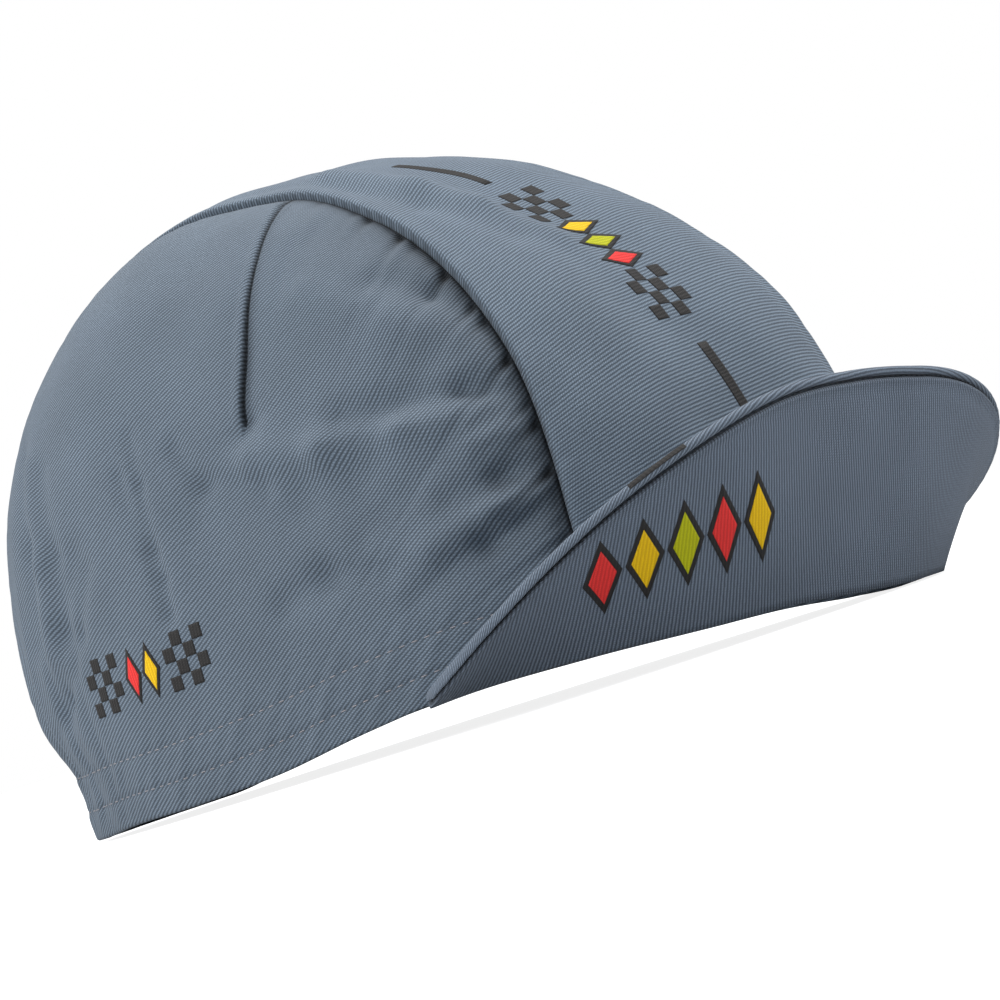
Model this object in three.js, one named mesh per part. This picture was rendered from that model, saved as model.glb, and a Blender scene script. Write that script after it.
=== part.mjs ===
// Cycling cap: a crown of one long centre panel and two side panels, a sweatband
// inside the hem, and a peak of two covers turned up in front of the crown.
// Millimetres, +Z up, the peak towards -Y, the origin on the ground under the crown.
import * as THREE from "three";
import { mergeVertices } from "three/addons/utils/BufferGeometryUtils.js";

// Crown
const HALF_LENGTH = 98; // from the origin to the front or rear hem
const HALF_WIDTH = 76.1; // from the origin to the hem over the ear
const HEIGHT = 132; // nominal height of the crown
const CROWN_WALL = 1.6; // cloth with its turned seam allowances
const SEAM_GAP = 0.3; // between neighbouring panels
const CENTRE_WIDTH = 74; // nominal width of the centre panel
const ARCH_HEIGHT = 7.6; // greatest lift of the hem off the ground
const SEAM_DIP = 0.7; // how deep the cloth is drawn in along a seam
const SEAM_SPREAD = 4; // how far from the seam that shows
const GATHER_DEPTH = 0.8; // ripples that the elastic draws in the rear hem
const GATHER_COUNT = 32; // ripples round the whole hem, shown only at the rear

// Sweatband
const BAND_WIDTH = 25;
const BAND_WALL = 1.2;
const BAND_GAP = 0.5; // between the crown and the band
const BAND_LIFT = 0.6; // the band's lower edge above the crown's hem

// Peak
const PEAK_DEPTH = 44.4; // at the middle, along the cloth
const PEAK_CORNER_DEPTH = 2.4; // what is left at the two corners
const PEAK_HALF_ANGLE = 59.4; // degrees from the front to a corner, in plan
const PEAK_ROUND = 2.1; // how flat the rim is across the middle
const PEAK_SHOULDER = 0.654; // how full the rim is near the corners
const MIDDLE_FLARE = 18.5; // degrees from upright
const RIGHT_CORNER_FLARE = 88;
const LEFT_CORNER_FLARE = 82.5;
const TOP_COVER_WALL = 1.2; // the cover that faces the crown
const UNDER_COVER_WALL = 1.3; // the cover that faces forward, with the stiffener
const COVER_GAP = 0.3;
const PEAK_SEAT_GAP = 0.35; // between the crown's hem and the peak
const ROLL_WIDTH = 1.9; // the top cover rolled over the rim
const ROLL_HEIGHT = 2.6;

// Fineness of the meshes
const CENTRE_ROWS = 44;
const CENTRE_COLUMNS = 18;
const SIDE_COLUMNS = 34;
const SIDE_ROWS = 20;
const BAND_STEPS = 96;
const BAND_ROWS = 3;
const PEAK_STEPS = 44;
const PEAK_ROWS = 5;

// Middle profile from the front hem over the top to the rear hem, at equal angles,
// as shares of the ellipse with half axes HALF_LENGTH and HEIGHT.
const PROFILE = [1.02, 0.975, 0.965, 0.931, 0.939, 1.018, 1.111, 1.127, 1.043];

// Squareness of the crown's sections at the same angles: 2 is an ellipse.
const SQUARENESS = [2.55, 2.8, 3.08, 2.95, 2.76, 2.8, 2.62, 2.25, 2.1];

// Half width of the centre panel at the same angles, as shares of CENTRE_WIDTH.
const SEAM_HALF_WIDTH = [0.775, 0.703, 0.604, 0.457, 0.36, 0.385, 0.43, 0.47, 0.505];

// Lift of the hem every 15 degrees from the front to the rear, as shares of
// ARCH_HEIGHT. The cap settles a little over to its left.
const RIGHT_HEM_LIFT = [0.17, 0.44, 0.61, 0.87, 1, 0.75, 0.37, 0.225, 0.19, 0.06, 0.02, 0, 0];
const LEFT_HEM_LIFT = [0.17, 0, 0, 0.07, 0.34, 0.68, 0.85, 0.85, 0.75, 0.66, 0.4, 0.02, 0];

// Folds of the side panels seen from the side. Each row runs from one point to
// another. y is a share of HALF_LENGTH, z, width and rise are shares of HEIGHT.
const FOLD_COLUMNS = ["y0", "z0", "y1", "z1", "width", "rise"];
const DART = [
  [-0.07, 0.93, -0.135, 0.865, 0.02, 0.01],
  [-0.135, 0.865, -0.15, 0.755, 0.02, 0.012],
  [-0.15, 0.755, -0.142, 0.57, 0.02, 0.012],
  [-0.12, 0.92, -0.17, 0.867, 0.016, -0.009],
  [-0.17, 0.867, -0.19, 0.755, 0.016, -0.012],
  [-0.19, 0.755, -0.178, 0.58, 0.018, -0.013],
  [-0.165, 0.56, -0.172, 0.545, 0.03, -0.012],
];
const RIGHT_FOLDS = [
  ...DART,
  [-0.15, 0.498, -0.34, 0.462, 0.032, 0.01],
  [-0.34, 0.462, -0.52, 0.448, 0.03, 0.01],
  [-0.52, 0.448, -0.65, 0.43, 0.026, 0.008],
  [-0.73, 0.465, -0.655, 0.485, 0.02, -0.012],
  [-0.655, 0.485, -0.4, 0.505, 0.024, -0.008],
  [-0.675, 0.61, -0.563, 0.667, 0.02, -0.01],
  [-0.563, 0.667, -0.45, 0.705, 0.022, -0.006],
  [-0.69, 0.55, -0.5, 0.63, 0.03, 0.006],
  [0.068, 0.56, 0.0, 0.49, 0.022, -0.007],
  [0.0, 0.49, -0.16, 0.446, 0.024, -0.007],
  [0.02, 0.44, -0.26, 0.4, 0.05, -0.008],
  [-0.26, 0.4, -0.5, 0.33, 0.05, -0.01],
  [-0.76, 0.335, -0.7, 0.326, 0.02, -0.013],
  [-0.7, 0.326, -0.6, 0.31, 0.026, -0.009],
  [-0.75, 0.4, -0.66, 0.388, 0.022, 0.008],
  [-0.76, 0.29, -0.67, 0.275, 0.02, 0.008],
  [-0.67, 0.275, -0.54, 0.245, 0.03, 0.01],
  [-0.76, 0.252, -0.65, 0.22, 0.02, -0.014],
  [-0.65, 0.22, -0.48, 0.17, 0.024, -0.012],
  [-0.16, 0.25, -0.28, 0.262, 0.03, -0.008],
  [-0.28, 0.262, -0.42, 0.232, 0.03, -0.008],
  [-0.28, 0.82, -0.46, 0.76, 0.03, -0.005],
  [-0.3, 0.727, -0.42, 0.67, 0.03, 0.005],
  [0.242, 0.55, 0.195, 0.414, 0.018, -0.006],
  [0.195, 0.414, 0.174, 0.31, 0.018, -0.006],
  [0.45, 0.45, 0.57, 0.335, 0.03, -0.007],
  [0.57, 0.335, 0.67, 0.21, 0.03, -0.007],
];
const LEFT_FOLDS = [
  ...DART,
  [-0.15, 0.5, -0.4, 0.46, 0.034, 0.009],
  [-0.72, 0.45, -0.5, 0.49, 0.024, -0.01],
  [0.03, 0.46, -0.42, 0.37, 0.055, -0.009],
  [-0.75, 0.3, -0.5, 0.22, 0.028, -0.012],
  [-0.66, 0.37, -0.4, 0.31, 0.035, 0.008],
  [0.24, 0.54, 0.19, 0.32, 0.022, -0.006],
  [0.5, 0.42, 0.65, 0.23, 0.03, -0.006],
];

// Long soft waves of the centre panel. u runs from the front hem to the rear hem
// and x across from the right seam to the left one; rise is a share of HEIGHT.
const WAVE_COLUMNS = ["u0", "x0", "u1", "x1", "width", "rise"];
const CENTRE_WAVES = [
  [0.14, -0.5, 0.42, -0.55, 0.2, 0.006],
  [0.12, -0.1, 0.36, -0.2, 0.18, -0.004],
  [0.3, 0.35, 0.6, 0.4, 0.25, 0.004],
  [0.6, -0.3, 0.82, -0.2, 0.25, -0.005],
];

// Section of the rolled rim: pairs of points across the top cover, from the board's
// edge outwards, as shares of ROLL_WIDTH along the cloth and ROLL_HEIGHT across it.
const ROLL_COLUMNS = ["along", "back", "front"];
const ROLL_SECTION = [
  [0.12, -0.66, -0.02],
  [0.4, -0.74, 0.26],
  [0.74, -0.66, 0.24],
  [1, -0.36, 0.02],
];

const clamp = THREE.MathUtils.clamp;
const radians = THREE.MathUtils.degToRad;

// A smooth curve through equally spaced values, t from 0 to 1.
function curve(values, t) {
  const last = values.length - 1;
  const s = clamp(t, 0, 1) * last;
  const i = Math.min(Math.floor(s), last - 1);
  const f = s - i;
  const b = values[i];
  const c = values[i + 1];
  const a = i === 0 ? 2 * b - c : values[i - 1];
  const d = i === last - 1 ? 2 * c - b : values[i + 2];
  return b + 0.5 * f * (c - a + f * (2 * a - 5 * b + 4 * c - d + f * (3 * (b - c) + d - a)));
}

function smooth(edge0, edge1, value) {
  return THREE.MathUtils.smoothstep(value, edge0, edge1);
}

// Distance from the origin to the middle profile at angle u, 0 at the front hem
// and pi at the rear hem.
function reach(u) {
  const ellipse = Math.hypot(Math.cos(u) / HALF_LENGTH, Math.sin(u) / HEIGHT);
  return curve(PROFILE, u / Math.PI) / ellipse;
}

function power(u) {
  return curve(SQUARENESS, u / Math.PI);
}

function seamHalfWidth(u) {
  return CENTRE_WIDTH * curve(SEAM_HALF_WIDTH, u / Math.PI);
}

// Angle of a point round the ear axis. Below the hem behind, it runs on past pi.
function angleOf(y, z) {
  const u = Math.atan2(z, -y);
  return u < -Math.PI / 2 ? u + 2 * Math.PI : u;
}

// 1 on the crown's outer surface, less inside it.
function field(x, y, z) {
  const u = angleOf(y, z);
  const n = power(u);
  return Math.abs(x / HALF_WIDTH) ** n + (Math.hypot(y, z) / reach(u)) ** n;
}

function outward(x, y, z) {
  const e = 0.02;
  return new THREE.Vector3(
    field(x + e, y, z) - field(x - e, y, z),
    field(x, y + e, z) - field(x, y - e, z),
    field(x, y, z + e) - field(x, y, z - e),
  ).normalize();
}

// Crown surface at angle u and share rho of the middle profile's reach.
function crownAt(u, rho, side) {
  const n = power(u);
  const m = reach(u) * rho;
  const x = side * HALF_WIDTH * Math.max(0, 1 - rho ** n) ** (1 / n);
  return new THREE.Vector3(x, -m * Math.cos(u), m * Math.sin(u));
}

function shareAt(u, x) {
  const n = power(u);
  return Math.max(0, 1 - Math.abs(x / HALF_WIDTH) ** n) ** (1 / n);
}

// Plan angle from the front, in half turns.
function turn(p) {
  return Math.abs(Math.atan2(p.x / HALF_WIDTH, -p.y / HALF_LENGTH)) / Math.PI;
}

function lift(p) {
  const shares = p.x < 0 ? RIGHT_HEM_LIFT : LEFT_HEM_LIFT;
  const hem = ARCH_HEIGHT * Math.max(0, curve(shares, turn(p)));
  return hem * clamp(1 - p.z / HEIGHT, 0, 1);
}

// Height of one straight fold at a point of its own chart, rounded off at its ends.
function foldAt(row, a, b, scaleA, scaleB, width, rise) {
  const [a0, b0, a1, b1] = row;
  const run = new THREE.Vector2((a1 - a0) * scaleA, (b1 - b0) * scaleB);
  const to = new THREE.Vector2((a - a0) * scaleA, (b - b0) * scaleB);
  const t = clamp(to.dot(run) / run.lengthSq(), 0, 1);
  const away = to.addScaledVector(run, -t).length() / width;
  return rise * Math.exp(-away * away);
}

function sideRelief(p) {
  const table = p.x < 0 ? RIGHT_FOLDS : LEFT_FOLDS;
  let sum = 0;
  for (const row of table) {
    const width = row[FOLD_COLUMNS.indexOf("width")] * HEIGHT;
    const rise = row[FOLD_COLUMNS.indexOf("rise")] * HEIGHT;
    sum += foldAt(row, p.y / HALF_LENGTH, p.z / HEIGHT, HALF_LENGTH, HEIGHT, width, rise);
  }
  return sum;
}

function centreRelief(u, share) {
  let sum = 0;
  for (const row of CENTRE_WAVES) {
    const width = row[WAVE_COLUMNS.indexOf("width")];
    const rise = row[WAVE_COLUMNS.indexOf("rise")] * HEIGHT;
    sum += foldAt(row, u / Math.PI, share, 1, 1, width, rise);
  }
  return sum;
}

// Ripples of the rear hem, fading upwards and towards the sides. They stand out
// from the sweatband and don't press into it.
function gathers(p) {
  const t = turn(p);
  const behind = smooth(0.6, 0.78, t);
  const low = 1 - smooth(0.15 * HEIGHT, 0.5 * HEIGHT, p.z);
  return GATHER_DEPTH * behind * low * (0.5 + 0.5 * Math.cos(GATHER_COUNT * Math.PI * t));
}

// How far the cloth stands off the plain crown surface at a point.
function relief(p) {
  const u = angleOf(p.y, p.z);
  const seam = seamHalfWidth(u);
  const off = Math.abs(p.x) - seam;
  const dip = SEAM_DIP * Math.exp(-((off / SEAM_SPREAD) ** 2));
  const free = smooth(0, 2 * SEAM_SPREAD, Math.abs(off));
  const plain = smooth(0.1 * HEIGHT, 0.26 * HEIGHT, p.z);
  const body = off > 0 ? sideRelief(p) : centreRelief(u, p.x / seam);
  return plain * (free * body - dip);
}

// A point of the crown's cloth, set in from its outer face, with the hem's lift.
function cloth(p, inset, ripple = gathers(p)) {
  const away = relief(p) + ripple - inset;
  const lifted = p.clone().addScaledVector(outward(p.x, p.y, p.z), away);
  lifted.z += lift(p) + (p.z - lifted.z) * (1 - smooth(0, 0.05 * HEIGHT, p.z));
  return lifted;
}

// One closed mesh from two matched sheets of points: the outer one, the inner one
// and the edge all round. A ring closes on itself along its first index.
function closedShell(name, material, steps, rows, outer, inner, ring = false) {
  const positions = [];
  const count = ring ? steps : steps + 1;
  for (const sheet of [outer, inner])
    for (let i = 0; i < count; i++)
      for (let j = 0; j <= rows; j++) positions.push(...sheet(i / steps, j / rows).toArray());
  const at = (sheet, i, j) => (sheet * count + (i % count)) * (rows + 1) + j;
  const index = [];
  const quad = (a, b, c, d) => index.push(a, b, c, a, c, d);
  for (let i = 0; i < steps; i++) {
    for (let j = 0; j < rows; j++) {
      quad(at(0, i, j), at(0, i + 1, j), at(0, i + 1, j + 1), at(0, i, j + 1));
      quad(at(1, i, j), at(1, i, j + 1), at(1, i + 1, j + 1), at(1, i + 1, j));
    }
    quad(at(0, i, 0), at(1, i, 0), at(1, i + 1, 0), at(0, i + 1, 0));
    quad(at(0, i, rows), at(0, i + 1, rows), at(1, i + 1, rows), at(1, i, rows));
  }
  if (!ring)
    for (let j = 0; j < rows; j++) {
      quad(at(0, 0, j), at(0, 0, j + 1), at(1, 0, j + 1), at(1, 0, j));
      quad(at(0, steps, j), at(1, steps, j), at(1, steps, j + 1), at(0, steps, j + 1));
    }
  const flat = new THREE.BufferGeometry();
  flat.setAttribute("position", new THREE.Float32BufferAttribute(positions, 3));
  flat.setIndex(index);
  const geometry = mergeVertices(flat, 1e-4);
  if (signedVolume(geometry) < 0) geometry.index.array.reverse();
  geometry.computeVertexNormals();
  const mesh = new THREE.Mesh(geometry, material);
  mesh.name = name;
  return mesh;
}

function signedVolume(geometry) {
  const p = geometry.getAttribute("position");
  const index = geometry.index;
  const [a, b, c] = [new THREE.Vector3(), new THREE.Vector3(), new THREE.Vector3()];
  let six = 0;
  for (let i = 0; i < index.count; i += 3) {
    a.fromBufferAttribute(p, index.getX(i));
    b.fromBufferAttribute(p, index.getX(i + 1));
    c.fromBufferAttribute(p, index.getX(i + 2));
    six += a.dot(b.cross(c));
  }
  return six / 6;
}

function clothMaterial(color) {
  return new THREE.MeshStandardMaterial({ color, roughness: 0.9, metalness: 0 });
}

function centrePanel() {
  const sheet = (inset) => (s, t) => {
    const u = s * Math.PI;
    const x = (seamHalfWidth(u) - SEAM_GAP / 2) * (2 * t - 1);
    const side = x < 0 ? -1 : 1;
    return cloth(crownAt(u, shareAt(u, x), side), inset);
  };
  const material = clothMaterial(0x6f7885);
  return closedShell(
    "centre_panel", material, CENTRE_ROWS, CENTRE_COLUMNS, sheet(0), sheet(CROWN_WALL),
  );
}

// A side panel is a half disc round the ear: its straight edge is the hem and its
// round edge the seam. A square sheet is bent onto it without a pole.
function sidePanel(name, side) {
  const sheet = (inset) => (s, t) => {
    const a = Math.sin((2 * s - 1) * Math.PI / 2) * 0.35 + (2 * s - 1) * 0.65;
    const p = a * Math.sqrt(1 - t * t / 2);
    const q = t * Math.sqrt(1 - a * a / 2);
    const u = Math.atan2(q, p);
    const edge = shareAt(u, seamHalfWidth(u) + SEAM_GAP / 2);
    return cloth(crownAt(u, edge * Math.hypot(p, q), side), inset);
  };
  const material = clothMaterial(0x5d6773);
  return closedShell(name, material, SIDE_COLUMNS, SIDE_ROWS, sheet(0), sheet(CROWN_WALL));
}

// Point of the crown surface in a plan direction at a height, found by halving.
function wallAt(angle, z) {
  let near = 0;
  let far = 2 * HALF_LENGTH;
  for (let i = 0; i < 40; i++) {
    const r = (near + far) / 2;
    if (field(r * Math.sin(angle), -r * Math.cos(angle), z) < 1) near = r;
    else far = r;
  }
  return new THREE.Vector3(near * Math.sin(angle), -near * Math.cos(angle), z);
}

function sweatband() {
  const sheet = (inset) => (s, t) => {
    const wall = wallAt(2 * Math.PI * s, BAND_LIFT + BAND_WIDTH * t);
    const p = cloth(wall, inset, 0);
    p.z = wall.z + lift(wall);
    return p;
  };
  const face = CROWN_WALL + BAND_GAP;
  const material = clothMaterial(0x69737f);
  return closedShell(
    "sweatband", material, BAND_STEPS, BAND_ROWS, sheet(face), sheet(face + BAND_WALL), true,
  );
}

// The peak's board: its root follows the front hem, and it leans out more and more
// towards its corners. s runs from corner to corner, -1 to 1.
function peakFrame(s) {
  const angle = radians(PEAK_HALF_ANGLE) * s;
  const corner = s < 0 ? RIGHT_CORNER_FLARE : LEFT_CORNER_FLARE;
  const flare = radians(MIDDLE_FLARE + (corner - MIDDLE_FLARE) * s * s);
  const hem = wallAt(angle, 0);
  const normal = outward(hem.x, hem.y, 0);
  const out = new THREE.Vector3(Math.sin(angle), -Math.cos(angle), 0);
  const along = out.clone().multiplyScalar(Math.sin(flare));
  along.z = Math.cos(flare);
  const front = out.clone().multiplyScalar(Math.cos(flare));
  front.z = -Math.sin(flare);
  const back = TOP_COVER_WALL + COVER_GAP / 2;
  const root = hem.clone();
  root.z += lift(hem) + UNDER_COVER_WALL * 0.5;
  root.addScaledVector(normal, PEAK_SEAT_GAP + back * Math.cos(flare) * out.dot(normal));
  const full = Math.max(0, 1 - Math.abs(s) ** PEAK_ROUND) ** PEAK_SHOULDER;
  const depth = PEAK_CORNER_DEPTH + (PEAK_DEPTH - PEAK_CORNER_DEPTH) * full;
  return { root, along, front, depth };
}

// Corner to corner, with the steps closer together at the corners.
function peakStep(t) {
  return Math.sin((2 * t - 1) * Math.PI / 2) * 0.7 + (2 * t - 1) * 0.3;
}

function peakPoint(frame, along, across) {
  const p = frame.root.clone().addScaledVector(frame.along, along);
  p.addScaledVector(frame.front, across);
  p.z = Math.max(0, p.z);
  return p;
}

function peakUnderside() {
  const sheet = (across) => (s, t) => {
    const frame = peakFrame(peakStep(s));
    return peakPoint(frame, frame.depth * t, across);
  };
  const material = clothMaterial(0x5c646e);
  const back = COVER_GAP / 2;
  return closedShell(
    "peak_underside", material, PEAK_STEPS, PEAK_ROWS, sheet(back + UNDER_COVER_WALL), sheet(back),
  );
}

// The top cover lies behind the board and rolls over the rim.
function peakTop() {
  const rows = PEAK_ROWS + ROLL_SECTION.length;
  const sheet = (column, flatAcross) => (s, t) => {
    const frame = peakFrame(peakStep(s));
    const row = Math.round(t * rows);
    if (row <= PEAK_ROWS) return peakPoint(frame, frame.depth * row / PEAK_ROWS, flatAcross);
    const share = ROLL_SECTION[row - PEAK_ROWS - 1];
    const along = frame.depth + COVER_GAP + share[0] * ROLL_WIDTH;
    const across = share[ROLL_COLUMNS.indexOf(column)] * ROLL_HEIGHT;
    return peakPoint(frame, along, across);
  };
  const face = -COVER_GAP / 2;
  const material = clothMaterial(0x77828e);
  return closedShell(
    "peak_top", material, PEAK_STEPS, rows,
    sheet("front", face), sheet("back", face - TOP_COVER_WALL),
  );
}

const cap = new THREE.Group();
cap.add(
  centrePanel(),
  sidePanel("side_panel_right", -1),
  sidePanel("side_panel_left", 1),
  sweatband(),
  peakUnderside(),
  peakTop(),
);

// The origin goes on the ground under the middle of the whole cap.
const bounds = new THREE.Box3().setFromObject(cap);
cap.position.y = -(bounds.min.y + bounds.max.y) / 2;
cap.position.z = -bounds.min.z;

export default cap;
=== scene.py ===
"""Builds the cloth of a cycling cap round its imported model, with its stitches, prints and stage.

Shapes are worked out in millimetres in the crown's own frame, +Z up and the peak
towards -Y, and are put into the row's frame in metres when a mesh is made.
"""

import bpy
import numpy as np
from mathutils import Matrix, Vector


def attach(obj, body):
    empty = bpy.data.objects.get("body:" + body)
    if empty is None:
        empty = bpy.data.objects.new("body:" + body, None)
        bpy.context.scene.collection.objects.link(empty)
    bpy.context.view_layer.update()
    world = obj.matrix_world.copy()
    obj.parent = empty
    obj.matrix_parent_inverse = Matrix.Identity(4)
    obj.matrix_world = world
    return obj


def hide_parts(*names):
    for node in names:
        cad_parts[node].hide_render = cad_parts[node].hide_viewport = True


bl_info = {
    "name": "Cycling cap",
    "version": (1, 0, 0),
    "blender": (4, 5, 0),
    "location": "View3D > Sidebar > Cap",
    "description": "Sews the cloth of a cycling cap round its packed model",
    "category": "Object",
}

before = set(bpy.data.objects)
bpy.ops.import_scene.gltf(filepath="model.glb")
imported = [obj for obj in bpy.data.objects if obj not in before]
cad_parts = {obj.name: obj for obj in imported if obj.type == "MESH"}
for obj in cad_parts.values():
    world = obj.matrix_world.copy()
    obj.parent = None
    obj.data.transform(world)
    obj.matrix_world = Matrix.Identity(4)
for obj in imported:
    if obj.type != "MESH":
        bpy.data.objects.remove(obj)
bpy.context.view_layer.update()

# Crown form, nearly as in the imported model, in millimetres. Each table of shares is read from
# the front hem over the top to the rear hem, or round the hem from the front to the rear.
HALF_LENGTH = 98.0
HALF_WIDTH = 76.1
HEIGHT = 132.0
CROWN_WALL = 1.6
CENTRE_WIDTH = 74.0
ARCH_HEIGHT = 7.6
GATHER_DEPTH = 0.8
GATHER_COUNT = 32
FRAME_SHIFT = (0.0, 5.1647, 0.0)  # from the crown's own frame to the row's

PROFILE = [1.02, 0.975, 0.965, 0.931, 0.939, 1.026, 1.111, 1.127, 1.043]
SQUARENESS = [2.55, 2.8, 3.08, 2.95, 2.76, 2.8, 2.62, 2.25, 2.1]
SEAM_HALF_WIDTH = [0.775, 0.718, 0.619, 0.467, 0.335, 0.318, 0.41, 0.47, 0.505]
RIGHT_HEM_LIFT = [0.17, 0.44, 0.61, 0.87, 1, 0.75, 0.37, 0.225, 0.19, 0.06, 0.02, 0, 0]
LEFT_HEM_LIFT = [0.17, 0, 0, 0.07, 0.34, 0.68, 0.85, 0.85, 0.75, 0.66, 0.4, 0.02, 0]

# Folds of the side panels: y0, z0, y1, z1, width, rise. y is a share of
# HALF_LENGTH, the others are shares of HEIGHT.
RIGHT_FOLDS = [
    (-0.15, 0.498, -0.34, 0.462, 0.032, 0.01),
    (-0.34, 0.462, -0.52, 0.448, 0.03, 0.01),
    (-0.52, 0.448, -0.65, 0.43, 0.026, 0.008),
    (-0.73, 0.465, -0.655, 0.485, 0.02, -0.012),
    (-0.655, 0.485, -0.4, 0.505, 0.024, -0.008),
    (-0.675, 0.61, -0.563, 0.667, 0.02, -0.01),
    (-0.563, 0.667, -0.45, 0.705, 0.022, -0.006),
    (-0.69, 0.55, -0.5, 0.63, 0.03, 0.006),
    (0.068, 0.56, 0.0, 0.49, 0.022, -0.007),
    (0.0, 0.49, -0.16, 0.446, 0.024, -0.007),
    (0.02, 0.44, -0.26, 0.4, 0.05, -0.008),
    (-0.26, 0.4, -0.5, 0.33, 0.05, -0.01),
    (-0.76, 0.335, -0.7, 0.326, 0.02, -0.013),
    (-0.7, 0.326, -0.6, 0.31, 0.026, -0.009),
    (-0.75, 0.4, -0.66, 0.388, 0.022, 0.008),
    (-0.76, 0.29, -0.67, 0.275, 0.02, 0.008),
    (-0.67, 0.275, -0.54, 0.245, 0.03, 0.01),
    (-0.76, 0.252, -0.65, 0.22, 0.02, -0.014),
    (-0.65, 0.22, -0.48, 0.17, 0.024, -0.012),
    (-0.16, 0.25, -0.28, 0.262, 0.03, -0.008),
    (-0.28, 0.262, -0.42, 0.232, 0.03, -0.008),
    (-0.28, 0.82, -0.46, 0.76, 0.03, -0.005),
    (-0.3, 0.727, -0.42, 0.67, 0.03, 0.005),
    (0.242, 0.55, 0.195, 0.414, 0.018, -0.006),
    (0.195, 0.414, 0.174, 0.31, 0.018, -0.006),
    (0.45, 0.45, 0.57, 0.335, 0.03, -0.007),
    (0.57, 0.335, 0.67, 0.21, 0.03, -0.007),
]
LEFT_FOLDS = [
    (-0.15, 0.5, -0.4, 0.46, 0.034, 0.009),
    (-0.72, 0.45, -0.5, 0.49, 0.024, -0.01),
    (0.03, 0.46, -0.42, 0.37, 0.055, -0.009),
    (-0.75, 0.3, -0.5, 0.22, 0.028, -0.012),
    (-0.66, 0.37, -0.4, 0.31, 0.035, 0.008),
    (0.24, 0.54, 0.19, 0.32, 0.022, -0.006),
    (0.5, 0.42, 0.65, 0.23, 0.03, -0.006),
]
# Finer folds of the side panels: the crease and the upright folds at the right rear, and the
# drawn-in front edge under the centre panel.
RIGHT_FINE_FOLDS = [
    (0.665, 0.64, 0.65, 0.49, 0.03, -0.011),
    (0.65, 0.49, 0.70, 0.34, 0.03, -0.01),
    (0.605, 0.62, 0.588, 0.46, 0.028, 0.008),
    (0.588, 0.46, 0.64, 0.32, 0.028, 0.007),
    (0.54, 0.6, 0.528, 0.464, 0.024, -0.006),
    (0.528, 0.464, 0.582, 0.338, 0.024, -0.006),
    (0.2, 0.61, 0.187, 0.525, 0.014, -0.004),
    (0.187, 0.525, 0.168, 0.366, 0.014, -0.006),
    (0.168, 0.366, 0.172, 0.306, 0.014, -0.004),
    (0.225, 0.56, 0.205, 0.4, 0.016, 0.004),
    (0.413, 0.425, 0.497, 0.326, 0.02, -0.007),
    (0.497, 0.326, 0.637, 0.225, 0.02, -0.007),
    (0.637, 0.225, 0.85, 0.14, 0.02, -0.006),
    (-0.6, 0.56, -0.42, 0.4, 0.05, -0.01),
    (-0.66, 0.42, -0.4, 0.3, 0.03, -0.007),
]
# Ridge and valley of the centre panel beside its right seam: u / pi and x in millimetres, twice,
# then width and rise in millimetres.
CENTRE_FINE_FOLDS = [
    (0.46, -18.0, 0.40, -17.5, 4.0, 1.05),
    (0.40, -17.5, 0.36, -14.0, 4.2, 1.1),
    (0.36, -14.0, 0.31, -9.5, 4.6, 0.95),
    (0.31, -9.5, 0.24, -5.0, 5.0, 0.65),
    (0.45, -25.0, 0.38, -24.5, 3.2, -0.6),
    (0.38, -24.5, 0.32, -20.0, 4.0, -0.7),
]
# Waves of the centre panel: angle, share across, twice, then width and rise.
CENTRE_WAVES = [
    (0.14, -0.5, 0.42, -0.55, 0.2, 0.006),
    (0.12, -0.1, 0.36, -0.2, 0.18, -0.004),
    (0.3, 0.35, 0.6, 0.4, 0.25, 0.004),
    (0.6, -0.3, 0.82, -0.2, 0.25, -0.005),
]

# Places on the dart's sewn line from the seam down, y and z in millimetres
DART_POINTS = np.array([
    (-7.4, 125.6), (-10.2, 120.2), (-12.8, 115.2), (-14.4, 108.6), (-15.2, 99.0),
    (-15.1, 88.0), (-14.2, 80.0), (-13.2, 73.0),
])
DART_TIP = (16.0, 76.0)  # the end of the dart in a side panel's flat chart
DART_TAKE = (8.0, 18.0)  # degrees that the dart turns the weave in front of it, near it and by the seam

# Sweatband
BAND_WIDTH = 25.0
BAND_WALL = 1.2
BAND_RADIUS = 88.0  # of its flat chart
BAND_GAP = 0.5
BAND_LIFT = 0.6

# Peak
PEAK_DEPTH = 44.4
PEAK_CORNER_DEPTH = 2.4
PEAK_HALF_ANGLE = 59.4
PEAK_LEFT_ANGLE = 57.5  # the left end lies further forward than the right one in the photographed cap
PEAK_ROUND = 2.1
PEAK_SHOULDER = 0.654
MIDDLE_FLARE = 18.5
RIGHT_CORNER_FLARE = 88.0
LEFT_CORNER_FLARE = 82.5
TOP_COVER_WALL = 1.2
UNDER_COVER_WALL = 1.3
COVER_GAP = 0.3
PEAK_SEAT_GAP = 0.35
PEAK_PRINT_ALONG = -47.0
PEAK_PRINT_HEIGHT = 21.0

# Roll of the peak's rim: where its middle is past the board's edge and in front of its face, and
# its two radii
ROLL_ALONG = COVER_GAP + 0.95
ROLL_ACROSS = -0.5
ROLL_RADII = (0.97, 1.2)

# Small distances in millimetres, and the camera's scale
REAR_DRAWN_IN = 3.3
HALF_HEM_RUN = 230.0  # length of the hem from the front to the rear
PANEL_GAP = 0.01  # from a cut edge to the middle of its seam
PRINT_RAISED = 0.1
PRINT_ON_PRINT_RAISED = 0.17
PIXELS_PER_MM = 4.578  # of the photographed cap

# Fine lines next to a cut edge, so that it is round: distances from the edge
EDGE_LINES = (0.0, 0.05, 0.16, 0.34, 0.6, 0.95)
EDGE_ROUND = 0.75


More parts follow.
